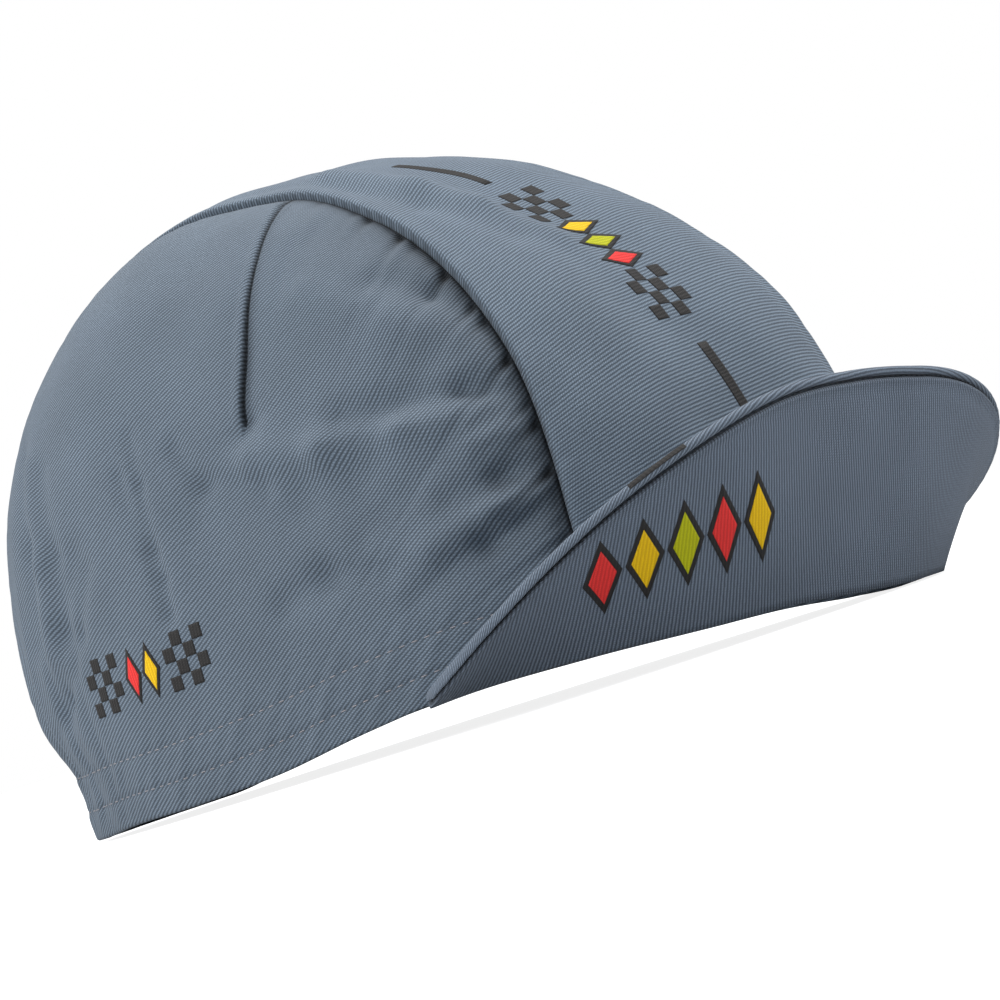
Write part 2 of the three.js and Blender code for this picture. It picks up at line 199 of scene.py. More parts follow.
def linear(hex_colour):
    """Linear RGBA of an sRGB hex colour: ((c + 0.055) / 1.055) ** 2.4 above 0.04045, c / 12.92 below."""
    c = np.array([int(hex_colour[i:i + 2], 16) for i in (1, 3, 5)]) / 255
    rgb = np.where(c > 0.04045, ((c + 0.055) / 1.055) ** 2.4, c / 12.92)
    return (*rgb.tolist(), 1.0)


def size(name, description, default_mm):
    return bpy.props.FloatProperty(
        name=name, description=description, default=default_mm / 1000,
        min=0, unit="LENGTH", precision=5,
    )


def colour(name, description, default_hex):
    return bpy.props.FloatVectorProperty(
        name=name, description=description, subtype="COLOR", size=4,
        min=0, max=1, default=linear(default_hex),
    )


class CapSizes(bpy.types.PropertyGroup):
    rib_spacing: size("Rib spacing", "Distance between the twill's ribs", 0.84)
    yarn_spacing: size("Yarn spacing", "Distance between the yarns that cross a rib", 0.5)
    hem_turn: size("Hem turn", "Height of the upper row of hem stitches", 14.2)
    hem_low_row: size("Low hem row", "Height of the lower row of hem stitches", 6.4)
    stitch_length: size("Stitch length", "Length of one hem stitch that shows", 1.9)
    stitch_pitch: size("Stitch pitch", "From one hem stitch to the next", 3.1)
    thread: size("Thread", "Thickness of the sewing thread", 0.27)


class CapColours(bpy.types.PropertyGroup):
    crown_centre: colour("Centre panel", "Slate cotton of the centre panel", "#707e8d")
    crown_side: colour("Side panels", "Slate cotton of the side panels", "#6b7886")
    sweatband: colour("Sweatband", "Slate cotton of the sweatband", "#657180")
    peak_underside: colour("Peak underside", "Slate cotton of the peak's underside", "#6e7a8a")
    peak_top: colour("Peak top", "Slate cotton of the peak's top cover", "#6d7988")
    hem_thread: colour("Hem thread", "Pale thread of the hem", "#a09da2")
    peak_thread: colour("Peak thread", "Dark thread in the groove of the rim", "#2b2f36")
    ink_black: colour("Black ink", "Black of the prints", "#2f2e2e")
    ink_red: colour("Red ink", "Red of the prints", "#ee3b39")
    ink_yellow: colour("Yellow ink", "Yellow of the prints", "#f8c414")
    ink_lime: colour("Lime ink", "Lime of the prints", "#bcbe14")


def millimetres(name):
    """A size of the panel in millimetres."""
    return getattr(bpy.context.scene.cap_sizes, name) * 1000


def chosen(name):
    """A colour of the panel."""
    return tuple(getattr(bpy.context.scene.cap_colours, name))


def curve(values, t):
    """Catmull-Rom curve through equally spaced values a, b, c, d at share f from b to c:
    b + f/2 (c - a + f (2a - 5b + 4c - d + f (3 (b - c) + d - a)))."""
    v = np.asarray(values, float)
    v = np.concatenate([[2 * v[0] - v[1]], v, [2 * v[-1] - v[-2]]])
    s = np.clip(t, 0, 1) * (len(values) - 1)
    i = np.minimum(s.astype(int), len(values) - 2)
    f = s - i
    a, b, c, d = (v[i + k] for k in range(4))
    return b + 0.5 * f * (c - a + f * (2 * a - 5 * b + 4 * c - d + f * (3 * (b - c) + d - a)))


def smooth(low, high, value):
    """t t (3 - 2t) with t = (value - low) / (high - low), kept from 0 to 1."""
    t = np.clip((value - low) / (high - low), 0, 1)
    return t * t * (3 - 2 * t)


def hump(distance, width):
    """exp(-(distance / width)^2)."""
    return np.exp(-((distance / width) ** 2))


def ripple(run, waves):
    """Uneven ripple along a length: the sum of share * sin(2 pi run / wave + turn)."""
    return sum(share * np.sin(2 * np.pi * run / wave + phase) for wave, share, phase in waves)


def reach(u):
    """Distance to the middle profile: PROFILE(u) / hypot(cos u / HALF_LENGTH, sin u / HEIGHT)."""
    return curve(PROFILE, u / np.pi) / np.hypot(np.cos(u) / HALF_LENGTH, np.sin(u) / HEIGHT)


def power(u):
    return curve(SQUARENESS, u / np.pi)


def seam_half_width(u):
    return CENTRE_WIDTH * curve(SEAM_HALF_WIDTH, u / np.pi)


def angle_of(p):
    """Angle round the ear axis, 0 at the front hem and pi at the rear hem."""
    u = np.arctan2(p[..., 2], -p[..., 1])
    return np.where(u < -np.pi / 2, u + 2 * np.pi, u)


def field(p):
    """|x / HALF_WIDTH|^n + (hypot(y, z) / reach(u))^n, which is 1 on the crown."""
    u = angle_of(p)
    n = power(u)
    return np.abs(p[..., 0] / HALF_WIDTH) ** n + (np.hypot(p[..., 1], p[..., 2]) / reach(u)) ** n


def outward(p):
    """Unit gradient of field, by central differences."""
    e = 0.02 * np.eye(3)
    g = np.stack([field(p + e[i]) - field(p - e[i]) for i in range(3)], -1)
    return g / np.linalg.norm(g, axis=-1, keepdims=True)


def crown_at(u, rho, side):
    """Crown surface: m = reach(u) rho, point (side HALF_WIDTH (1 - rho^n)^(1/n), -m cos u, m sin u)."""
    n = power(u)
    m = reach(u) * rho
    x = side * HALF_WIDTH * np.maximum(0, 1 - rho ** n) ** (1 / n)
    return np.stack([x, -m * np.cos(u), m * np.sin(u)], -1)


def share_at(u, x):
    """rho at which crown_at has that x: (1 - |x / HALF_WIDTH|^n)^(1/n)."""
    n = power(u)
    return np.maximum(0, 1 - np.abs(x / HALF_WIDTH) ** n) ** (1 / n)


def turn(p):
    """Plan angle from the front, in half turns."""
    return np.abs(np.arctan2(p[..., 0] / HALF_WIDTH, -p[..., 1] / HALF_LENGTH)) / np.pi


def lift(p):
    """How far the hem's arch raises a point: ARCH_HEIGHT times the table, fading to nothing at the top."""
    t = turn(p)
    hem = np.where(p[..., 0] < 0, curve(RIGHT_HEM_LIFT, t), curve(LEFT_HEM_LIFT, t))
    return ARCH_HEIGHT * np.maximum(0, hem) * np.clip(1 - p[..., 2] / HEIGHT, 0, 1)


def fold_sum(table, a, b, scale_a, scale_b, scale_width, scale_rise):
    """Sum over the rows of rise exp(-(distance to the row's segment / width)^2)."""
    total = 0
    for a0, b0, a1, b1, width, rise in table:
        run = np.array([(a1 - a0) * scale_a, (b1 - b0) * scale_b])
        da, db = (a - a0) * scale_a, (b - b0) * scale_b
        t = np.clip((da * run[0] + db * run[1]) / (run @ run), 0, 1)
        distance = np.hypot(da - t * run[0], db - t * run[1])
        total = total + rise * scale_rise * hump(distance, width * scale_width)
    return total


def side_folds(p):
    y, z = p[..., 1] / HALF_LENGTH, p[..., 2] / HEIGHT
    right, left = (
        fold_sum(table, y, z, HALF_LENGTH, HEIGHT, HEIGHT, HEIGHT)
        for table in (RIGHT_FOLDS, LEFT_FOLDS)
    )
    return np.where(p[..., 0] < 0, right, left)


def fine_side_folds(p):
    y, z = p[..., 1] / HALF_LENGTH, p[..., 2] / HEIGHT
    folds = fold_sum(RIGHT_FINE_FOLDS, y, z, HALF_LENGTH, HEIGHT, HEIGHT, HEIGHT)
    return 0.3 * side_folds(p) + np.where(p[..., 0] < 0, 1, 0.35) * folds


def fine_centre_folds(p, u):
    table = [
        (float(seam_run(a * np.pi)), b, float(seam_run(c * np.pi)), d, w, r)
        for a, b, c, d, w, r in CENTRE_FINE_FOLDS
    ]
    return fold_sum(table, seam_run(u), p[..., 0], 1, 1, 1, 1)


def centre_folds(u, share):
    return fold_sum(CENTRE_WAVES, u / np.pi, share, 1, 1, 1, HEIGHT)


def gathers(p):
    """Ripples of the elastic rear hem: GATHER_DEPTH (1 + cos(GATHER_COUNT pi t)) / 2, faded."""
    t = turn(p)
    behind = smooth(0.6, 0.78, t)
    low = 1 - smooth(0.15 * HEIGHT, 0.5 * HEIGHT, p[..., 2])
    return GATHER_DEPTH * behind * low * (0.5 + 0.5 * np.cos(GATHER_COUNT * np.pi * t))


def dart_distance(p):
    """Signed distance to the dart's line seen from the side, positive behind it, and the run along it.
    The line is the Catmull-Rom curve through DART_POINTS."""
    share = np.linspace(0, 1, 25)
    line = np.stack([curve(DART_POINTS[:, i], share) for i in (0, 1)], -1)
    y, z = p[..., 1], p[..., 2]
    best, behind, along, done = np.full(y.shape, 1e9), 0, 0, 0
    for (y0, z0), (y1, z1) in zip(line[:-1], line[1:]):
        dy, dz = y1 - y0, z1 - z0
        length = np.hypot(dy, dz)
        t = ((y - y0) * dy + (z - z0) * dz) / length ** 2
        inside = np.clip(t, 0, 1)
        distance = np.hypot(y - y0 - inside * dy, z - z0 - inside * dz)
        nearer = distance < best
        best = np.where(nearer, distance, best)
        behind = np.where(nearer, np.sign(dy * (z - z0) - dz * (y - y0)), behind)
        along = np.where(nearer, done + inside * length, along)
        done += length
    return best * behind, along


def dart_relief(p):
    """The sewn dart: the rear cloth rolls over into a narrow groove, the front cloth starts lower and is
    hollow beside it, the more so downwards, and there is a dimple at its end."""
    c, along = dart_distance(p)
    groove = -0.5 * hump(c, 0.3)
    roll = 0.35 * hump(c - 1.2, 1.2) + 0.3 * hump(c - 5, 7)
    hollow = -(0.1 + 0.6 * smooth(14, 44, along)) * hump(c, 4.2)
    hollow = hollow - 0.4 * smooth(16, 46, along) * hump(c + 4, 8)
    step = smooth(-0.3, 0.3, c)
    y, z = p[..., 1], p[..., 2]
    tail = DART_POINTS[-1]
    fade = hump(np.maximum(0, tail[1] + 1.0 - z), 2.2)
    dimple = -1.2 * hump(np.hypot(y - tail[0] + 1.4, z - tail[1] + 1.0), 3.4)
    ticks = 0.07 * hump(c - 1.6, 1.6) * np.sin(2 * np.pi * along / 1.7) * smooth(4, 14, along)
    sides = step * (roll + ticks) + (1 - step) * hollow
    return smooth(-3, 3, along + 1) * fade * (groove + sides) + dimple


def uneven(p):
    """Slight unevenness of stuffed cloth: a sum of plane waves 17 to 60 mm long."""
    x, y, z = p[..., 0], p[..., 1], p[..., 2]
    waves = [
        (0.16, 0.105, 0.03, 0.07, 0.4), (0.12, -0.06, 0.16, 0.11, 1.9), (0.1, 0.19, -0.09, 0.21, 3.1),
        (0.08, 0.13, 0.23, -0.19, 4.6), (0.06, -0.27, 0.2, 0.26, 5.3),
    ]
    return sum(a * np.sin(kx * x + ky * y + kz * z + phase) for a, kx, ky, kz, phase in waves)


def seam_run(u):
    """Length along the crown's middle from the front hem to angle u."""
    steps = np.linspace(0, np.pi, 721)
    m = reach(steps)
    y, z = -m * np.cos(steps), m * np.sin(steps)
    run = np.concatenate([[0], np.cumsum(np.hypot(np.diff(y), np.diff(z)))])
    return np.interp(u, steps, run)


def angle_at_run(run):
    steps = np.linspace(0, np.pi, 721)
    return np.interp(run, seam_run(steps), steps)


def front_share(u):
    """1 along the front part of a seam, fading out at the hem and at the top."""
    return smooth(0.07, 0.14, u / np.pi) * (1 - smooth(0.36, 0.47, u / np.pi))


def sinking(u, off):
    """How far a side panel is drawn in along its seam. Off is the distance past the seam."""
    return 1.1 * hump(off, 3.4) + (0.3 + 1.0 * front_share(u)) * hump(off, 8)


def seam_relief(p, u, off):
    """The centre panel's folded edge stands over the side panel, which is drawn in and puckered.
    Off is the distance past the seam, positive on the side panel."""
    run = seam_run(u)
    right = p[..., 0] < 0
    front = front_share(u)
    rear = smooth(0.5, 0.6, u / np.pi) * (1 - smooth(0.93, 0.99, u / np.pi))
    strong = np.where(right, 0.12 + 0.88 * front + 0.25 * rear, 0.12 + 0.7 * front + 0.3 * rear)
    wrinkles = seam_wrinkles(run, right, off)
    reach_in = 8 + 6 * ripple(run + 11.3 * ~right, [(23.0, 0.5, 0.5), (37.0, 0.5, 2.2)])
    puckers = 0.62 * strong * wrinkles * smooth(0, 1.2, off) * np.exp(-np.maximum(off, 0) / reach_in)
    ridge = 0.3 * hump(off + 1.6, 1.5) + 0.07 * strong * wrinkles * hump(off + 1.5, 2.5)
    ditch = -0.16 * hump(off + 5.2, 2.0)
    return np.where(off > 0, puckers - sinking(u, off), ridge + ditch)


def seam_wrinkles(run, right, off):
    """Uneven ripple along the seam that leans with the distance from it."""
    return ripple(run + 11.3 * ~right + 0.3 * off, [
        (5.7, 0.42, 0.2), (9.3, 0.5, 1.7), (4.1, 0.26, 4.0), (14.7, 0.4, 2.6)])


def crease(p):
    """Painted shade: the share of light that is lost in the seams, the dart and the stitched rows,
    darkening the cloth's colour there: a sum of depth exp(-(distance / width)^2), kept below 1."""
    u = angle_of(p)
    off = np.abs(p[..., 0]) - seam_half_width(u)
    run = seam_run(u)
    right = p[..., 0] < 0
    front = front_share(u)
    low = np.minimum(0, seam_wrinkles(run, right, off))
    wide = (0.3 + 0.2 * front) * hump(off, 3.2) + 0.2 * front * hump(off, 10)
    side = 0.5 * hump(off, 0.5) + wide - 0.3 * front * low * hump(off, 6)
    seam = np.where(off > 0, side, 0.3 * hump(off, 0.35))
    c, along = dart_distance(p)
    tail = DART_POINTS[-1][1]
    there = smooth(-3, 3, along + 1) * hump(np.maximum(0, tail + 1 - p[..., 2]), 1.5)
    beside = (0.1 + 0.22 * smooth(10, 40, along)) * hump(c + 0.5, 1.5) * (1 - smooth(-0.1, 0.3, c))
    dart = there * (0.85 * hump(c, 0.24) + beside)
    turn_height, low_row = millimetres("hem_turn"), millimetres("hem_low_row")
    rows = 0.16 * hump(p[..., 2] - turn_height, 0.6) + 0.12 * hump(p[..., 2] - low_row, 0.6)
    return np.clip(seam + np.where(off > 0, dart, 0) + rows, 0, 0.9)


def hem_relief(p):
    """The hem's double turn stands a little proud, drawn in along its two rows of stitches."""
    z = p[..., 2]
    t = turn(p)
    run = HALF_HEM_RUN * t
    turn_height, low_row = millimetres("hem_turn"), millimetres("hem_low_row")
    proud = 0.28 * (1 - smooth(turn_height - 0.4, turn_height + 1.1, z))
    rows = -0.3 * hump(z - turn_height, 0.8) - 0.26 * hump(z - low_row, 0.8)
    between = 0.1 * ripple(run + 0.6 * z, [(4.1, 0.6, 0.1), (6.7, 0.6, 1.3), (11.0, 0.7, 3.0)])
    return proud + rows + between * (1 - smooth(turn_height, turn_height + 9, z)) * smooth(0, 3, z)


def relief(p, fine):
    """How far the cloth stands off the plain crown. Fine adds what only its outer face shows."""
    u = angle_of(p)
    seam = seam_half_width(u)
    off = np.abs(p[..., 0]) - seam
    z = p[..., 2]
    free = smooth(0, 8, np.abs(off))
    plain = smooth(0.1 * HEIGHT, 0.26 * HEIGHT, z)
    sides = side_folds(p) + fine_side_folds(p)
    centre = centre_folds(u, p[..., 0] / seam) + fine_centre_folds(p, u)
    body = free * np.where(off > 0, sides, centre)
    edge = 0.3 + 0.7 * smooth(0.02 * HEIGHT, 0.2 * HEIGHT, z)
    dart = np.where(off > 0, dart_relief(p) * smooth(0.2, 5, off), 0)
    # The elastic draws the rear in above the hem's edge.
    drawn_in = -REAR_DRAWN_IN * hump(z - 13, 10) * smooth(0.62, 0.8, turn(p))
    if not fine:
        return plain * body - edge * sinking(u, off) + dart + drawn_in
    rear = gather_detail(p)
    seams = edge * seam_relief(p, u, off)
    return plain * (body + uneven(p)) + seams + dart + drawn_in + hem_relief(p) + rear


def gather_detail(p):
    """Finer upright gathers between the large ones, where the elastic draws in the rear hem."""
    t = turn(p)
    run = HALF_HEM_RUN * t
    z = p[..., 2]
    behind = smooth(0.58, 0.74, t)
    low = 1 - smooth(0.2 * HEIGHT, 0.62 * HEIGHT, z)
    lean = 0.05 * z
    waves = ripple(run + lean, [(5.3, 0.35, 0.4), (8.1, 0.5, 2.0), (12.9, 0.5, 4.4), (3.6, 0.16, 1.1)])
    return 0.42 * behind * low * waves * smooth(0, 8, z)


def cloth(p, inset, fine=True, ripples=True):
    """p + outward (relief + gathers - inset), with the hem kept level and the arch's lift added."""
    away = relief(p, fine) + (gathers(p) if ripples else 0) - inset
    lifted = p + outward(p) * away[..., None]
    level = (p[..., 2] - lifted[..., 2]) * (1 - smooth(0, 0.05 * HEIGHT, p[..., 2]))
    lifted[..., 2] += lift(p) + level
    return lifted


def rounding(distance):
    """Inset of a rounded edge: r - sqrt(r^2 - (r - distance)^2) within r of it."""
    d = np.clip(EDGE_ROUND - distance, 0, EDGE_ROUND)
    return EDGE_ROUND - np.sqrt(EDGE_ROUND ** 2 - d ** 2)


def lines(length, step, group, fine=()):
    """Shares from 0 to 1 with EDGE_LINES at both ends and about step apart between; fine is rows of
    (from, to, step) in shares. The number of spaces is a multiple of group."""
    ends = np.array(EDGE_LINES) / length
    grid = np.linspace(ends[-1], 1 - ends[-1], int(round(length / step)))[1:-1]
    for low, high, close in fine:
        grid = grid[(grid < low) | (grid > high)]
        grid = np.concatenate([grid, np.linspace(low, high, int(round((high - low) * length / close)))])
    every = np.sort(np.concatenate([ends, 1 - ends, grid]))
    extra = -(len(every) - 1) % group
    if extra:
        wide = np.argsort(np.diff(every))[::-1][:extra]
        every = np.sort(np.concatenate([every, (every[wide] + every[wide + 1]) / 2]))
    return every


def quads(m, n, start=0):
    """Faces of an m by n grid of points."""
    i, j = np.meshgrid(np.arange(m - 1), np.arange(n - 1), indexing="ij")
    a = (start + i * n + j).ravel()
    return np.stack([a, a + n, a + n + 1, a + 1], 1)


def edge_strip(outer, inner, group, ahead):
    """Faces between a fine row of points and the coarse row under it."""
    faces = []
    for k in range(len(inner) - 1):
        fine = outer[k * group:(k + 1) * group + 1]
        pair = [inner[k], inner[k + 1]]
        faces.append([*fine, *pair[::-1]] if ahead else [*fine[:1], *pair, *fine[:0:-1]])
    return faces


def shell(outer, inner, chart, group, shade=None):
    """A closed cloth panel: a fine outer sheet, a coarser inner one on every group-th line, and its edges.
    Shade is painted shade: the share of light lost on the outer sheet, painted as a darker colour."""
    m, n = outer.shape[:2]
    inner_chart = chart[::group, ::group]
    a, b = inner.shape[:2]
    start = m * n
    faces = quads(m, n).tolist() + quads(a, b, start)[:, ::-1].tolist()
    o = np.arange(m * n).reshape(m, n).tolist()
    i = (start + np.arange(a * b)).reshape(a, b).tolist()
    faces += edge_strip([r[0] for r in o], [r[0] for r in i], group, False)
    faces += edge_strip([r[-1] for r in o], [r[-1] for r in i], group, True)
    faces += edge_strip(o[0], i[0], group, True)
    faces += edge_strip(o[-1], i[-1], group, False)
    points = np.concatenate([outer.reshape(-1, 3), inner.reshape(-1, 3)])
    charts = np.concatenate([chart.reshape(-1, 2), inner_chart.reshape(-1, 2)])
    lost = np.zeros(len(points))
    if shade is not None:
        lost[:m * n] = shade.ravel()
    return points, faces, charts, lost


def loft(sections, chart, ring=False, shade=None):
    """A solid from closed sections, (m, k, 3), carried along a path, with its ends closed or joined."""
    m, k = sections.shape[:2]
    i, j = np.meshgrid(np.arange(m if ring else m - 1), np.arange(k), indexing="ij")
    after, across = (i + 1) % m, (j + 1) % k
    faces = np.stack([i * k + j, after * k + j, after * k + across, i * k + across], -1)
    faces = faces.reshape(-1, 4).tolist()
    if not ring:
        half = np.arange(k // 2 - 1)
        cap = np.stack([half, half + 1, k - 2 - half, k - 1 - half], 1)
        faces += cap.tolist() + (cap[:, ::-1] + (m - 1) * k).tolist()
    lost = np.zeros(m * k) if shade is None else shade.ravel()
    return sections.reshape(-1, 3), faces, chart.reshape(-1, 2), lost


def make_piece(name, parts, material, replaced=()):
    """Joins parts of (points in mm, faces, chart in mm, share of light lost as painted shade) into one
    piece that rides on the cap."""
    points, faces, charts, lost, count = [], [], [], [], 0
    for part_points, part_faces, part_chart, part_lost in parts:
        points.append(part_points)
        charts.append(part_chart)
        lost.append(part_lost)
        faces += [[v + count for v in face] for face in part_faces] if count else part_faces
        count += len(part_points)
    points = (np.concatenate(points) + FRAME_SHIFT) / 1000
    points[:, 2] = np.maximum(points[:, 2], 0)
    mesh = bpy.data.meshes.new(name)
    mesh.from_pydata(points.tolist(), [], faces)
    mesh.calc_loop_triangles()
    corners = np.empty(len(mesh.loop_triangles) * 3, np.int32)
    mesh.loop_triangles.foreach_get("vertices", corners)
    a, b, c = points[corners.reshape(-1, 3)].transpose(1, 0, 2)
    if np.einsum("ij,ij->i", a, np.cross(b, c)).sum() < 0:
        mesh.flip_normals()
    at = np.empty(len(mesh.loops), np.int32)
    mesh.loops.foreach_get("vertex_index", at)
    uv = mesh.uv_layers.new(name="cloth")
    uv.data.foreach_set("uv", np.concatenate(charts)[at].astype(np.float32).ravel())
    # Painted shade: each point's share of light lost is kept as a point attribute that darkens its colour.
    shade = mesh.attributes.new("crease", "FLOAT", "POINT")
    shade.data.foreach_set("value", np.concatenate(lost).astype(np.float32))
    mesh.polygons.foreach_set("use_smooth", np.ones(len(mesh.polygons), bool))
    mesh.materials.append(material)
    mesh.update()
    piece = bpy.data.objects.new(name, mesh)
    bpy.context.scene.collection.objects.link(piece)
    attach(piece, "root")
    if replaced:
        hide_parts(*replaced)
    return piece


def add(tree, kind, inputs=None, **settings):
    """Adds a node with its settings, and its inputs' values or the sockets that feed them."""
    node = tree.nodes.new(kind)
    for key, value in settings.items():
        setattr(node, key, value)
    for key, value in (inputs or {}).items():
        if isinstance(value, bpy.types.NodeSocket):
            tree.links.new(value, node.inputs[key])
        else:
            node.inputs[key].default_value = value
    return node


def scaled(rgba, factor):
    return (*(min(1.0, c * factor) for c in rgba[:3]), 1.0)


def charted_material(name):
    """A new material with its node tree, its shader and the socket of the flat chart."""
    material = bpy.data.materials.new(name)
    material.use_nodes = True
    tree = material.node_tree
    uv = add(tree, "ShaderNodeUVMap", uv_map="cloth").outputs["UV"]
    return material, tree, tree.nodes["Principled BSDF"], uv


def turned_chart(tree, uv, degrees):
    """The flat chart turned by an angle, for a pattern's bands."""
    turned = {"Vector": uv, "Rotation": (0, 0, np.radians(degrees))}
    return add(tree, "ShaderNodeMapping", turned).outputs["Vector"]


def bands(tree, uv, degrees, scale, distortion, detail, detail_scale):
    """Wavy bands across the flat chart at an angle."""
    return add(tree, "ShaderNodeTexWave", {
        "Vector": turned_chart(tree, uv, degrees), "Scale": scale, "Distortion": distortion,
        "Detail": detail, "Detail Scale": detail_scale,
    }, bands_direction="Y").outputs["Fac"]


def twill(name, base, degrees, fineness=1.0, depth=1.0, contrast=1.0, roughness=0.86, sheen=0.1):
    """Woven cotton twill: diagonal ribs crossed by yarns, matt, with a faint bloom of loose fibres.
    It gives the eye fine slanting lines, a soft uneven slate tone, no gloss, and seams darkened by
    painted shade."""
    material, tree, shader, uv = charted_material(name)
    # The ribs of real cap twill are 0.5 to 1 mm apart; these are at the coarse end so that they show.
    wave_scale = fineness * np.pi / 10
    rib = bands(tree, uv, degrees, wave_scale / millimetres("rib_spacing"), 1.0, 1.5, 2.4)
    yarn = bands(tree, uv, degrees + 62, wave_scale / millimetres("yarn_spacing"), 1.2, 1.0, 1.7)
    fibre = add(tree, "ShaderNodeTexNoise", {
        "Vector": uv, "Scale": 3.0, "Detail": 3.0, "Roughness": 0.7}).outputs["Fac"]
    broad = add(tree, "ShaderNodeTexNoise", {"Vector": uv, "Scale": 0.045, "Detail": 2.0}).outputs["Fac"]
    beads = add(tree, "ShaderNodeMath", {0: yarn, 1: 0.55, 2: 0.45}, operation="MULTIPLY_ADD").outputs[0]
    height = add(tree, "ShaderNodeMath", {0: rib, 1: beads}, operation="MULTIPLY").outputs[0]
    fuzzy = add(tree, "ShaderNodeMath", {0: fibre, 1: 0.5, 2: height}, operation="MULTIPLY_ADD").outputs[0]
    tone = add(tree, "ShaderNodeMapRange", {
        "Value": fuzzy, "From Min": 0.2, "From Max": 1.2}).outputs["Result"]
    ribs = add(tree, "ShaderNodeMix", {"Factor": tone}, data_type="RGBA")
    set_colours(ribs, scaled(base, 1 - 0.62 * contrast), scaled(base, 1 + 0.5 * contrast))
    # Broad noise makes the tone uneven at random; the point attribute below is painted shade in the seams,
    # dart, hem rows and rim groove.
    value = add(tree, "ShaderNodeMapRange", {
        "Value": broad, "From Min": 0.3, "From Max": 0.7, "To Min": 0.94, "To Max": 1.06}).outputs["Result"]
    lost = add(tree, "ShaderNodeAttribute", attribute_name="crease").outputs["Fac"]
    kept = add(tree, "ShaderNodeMath", {0: 1.0, 1: lost}, operation="SUBTRACT").outputs[0]
    shade = add(tree, "ShaderNodeMath", {0: value, 1: kept}, operation="MULTIPLY").outputs[0]
    uneven_tone_and_painted_shade = add(tree, "ShaderNodeHueSaturation", {"Color": ribs.outputs[2], "Value": shade}).outputs["Color"]
    bump = add(tree, "ShaderNodeBump", {
        "Height": fuzzy, "Strength": 0.6 * depth, "Distance": 0.00022}).outputs["Normal"]
    tree.links.new(uneven_tone_and_painted_shade, shader.inputs["Base Color"])
    tree.links.new(bump, shader.inputs["Normal"])
    shader.inputs["Roughness"].default_value = roughness
    shader.inputs["Specular IOR Level"].default_value = 0.22
    shader.inputs["Sheen Weight"].default_value = sheen
    shader.inputs["Sheen Roughness"].default_value = 0.45
    return material


def set_colours(mix, a, b):
    """Sets the two colours of a colour mix, whose sockets share their names with other kinds."""
    mix.inputs[6].default_value = a
    mix.inputs[7].default_value = b


def spun_thread(name, base):
    """Spun polyester sewing thread: two twisted plies, slightly glossy. It gives the eye short dashes
    with a faint slanting twist."""
    material, tree, shader, uv = charted_material(name)
    ply = turned_chart(tree, uv, 35)
    twist = add(tree, "ShaderNodeTexWave", {
        "Vector": ply, "Scale": np.pi / 10 / 0.45, "Distortion": 0.4}).outputs["Fac"]
    shade = add(tree, "ShaderNodeMix", {"Factor": twist}, data_type="RGBA")
    set_colours(shade, scaled(base, 0.7), scaled(base, 1.12))
    tree.links.new(shade.outputs[2], shader.inputs["Base Color"])
    bump = add(tree, "ShaderNodeBump", {
        "Height": twist, "Strength": 0.4, "Distance": 0.00008}).outputs["Normal"]
    tree.links.new(bump, shader.inputs["Normal"])
    shader.inputs["Roughness"].default_value = 0.55
    return material


class CAP_OT_centre_panel(bpy.types.Operator):
    """Sews the long centre panel of the crown"""

    bl_idname = "cap.centre_panel"
    bl_label = "Centre panel"

    def execute(self, context):
        group = 3
        length = float(seam_run(np.pi))
        s = lines(length, 1.0, group)
        t = lines(CENTRE_WIDTH, 0.72, group)
        run, share = np.meshgrid(s * length, 2 * t - 1, indexing="ij")
        u = angle_at_run(run)
        half = seam_half_width(u) - PANEL_GAP
        x = half * share
        plain = crown_at(u, share_at(u, x), np.where(x < 0, -1, 1))
        edge = np.minimum(half - np.abs(x), np.minimum(run, length - run))
        outer = cloth(plain, rounding(edge))
        few = (slice(None, None, group),) * 2
        inner = cloth(plain[few], CROWN_WALL, fine=False)
        material = twill("cotton twill centre panel", chosen("crown_centre"), -82)
        # The panel's colour takes painted shade along its seams and hem rows.
        panel = shell(outer, inner, np.stack([run, x], -1), group, crease(plain))
        make_piece("centre_panel_cloth", [panel], material, ["centre_panel"])
        return {"FINISHED"}


def side_chart(u, rho, side):
    """Flat place of a side panel's point: its distance over the cloth from the middle of the hem,
    the sum of hypot(dm, dx) from 0 to rho, in its direction u. To the right of the chart is to the
    right as seen from outside."""
    shares = np.linspace(0, 1, 41)
    steps = rho[..., None] * shares
    n = power(u)[..., None]
    m = reach(u)[..., None] * steps
    x = HALF_WIDTH * np.maximum(0, 1 - steps ** n) ** (1 / n)
    distance = np.hypot(np.diff(m, axis=-1), np.diff(x, axis=-1)).sum(-1)
    forward, up = distance * np.cos(u) - DART_TIP[0], distance * np.sin(u) - DART_TIP[1]
    near, far = DART_TAKE
    ahead = smooth(0, 0.7 * np.pi, np.arctan2(forward, -up))
    turned = -np.radians(near + far * smooth(5, 55, forward)) * ahead
    cos, sin = np.cos(turned), np.sin(turned)
    return np.stack([-side * (forward * cos - up * sin), forward * sin + up * cos], -1)


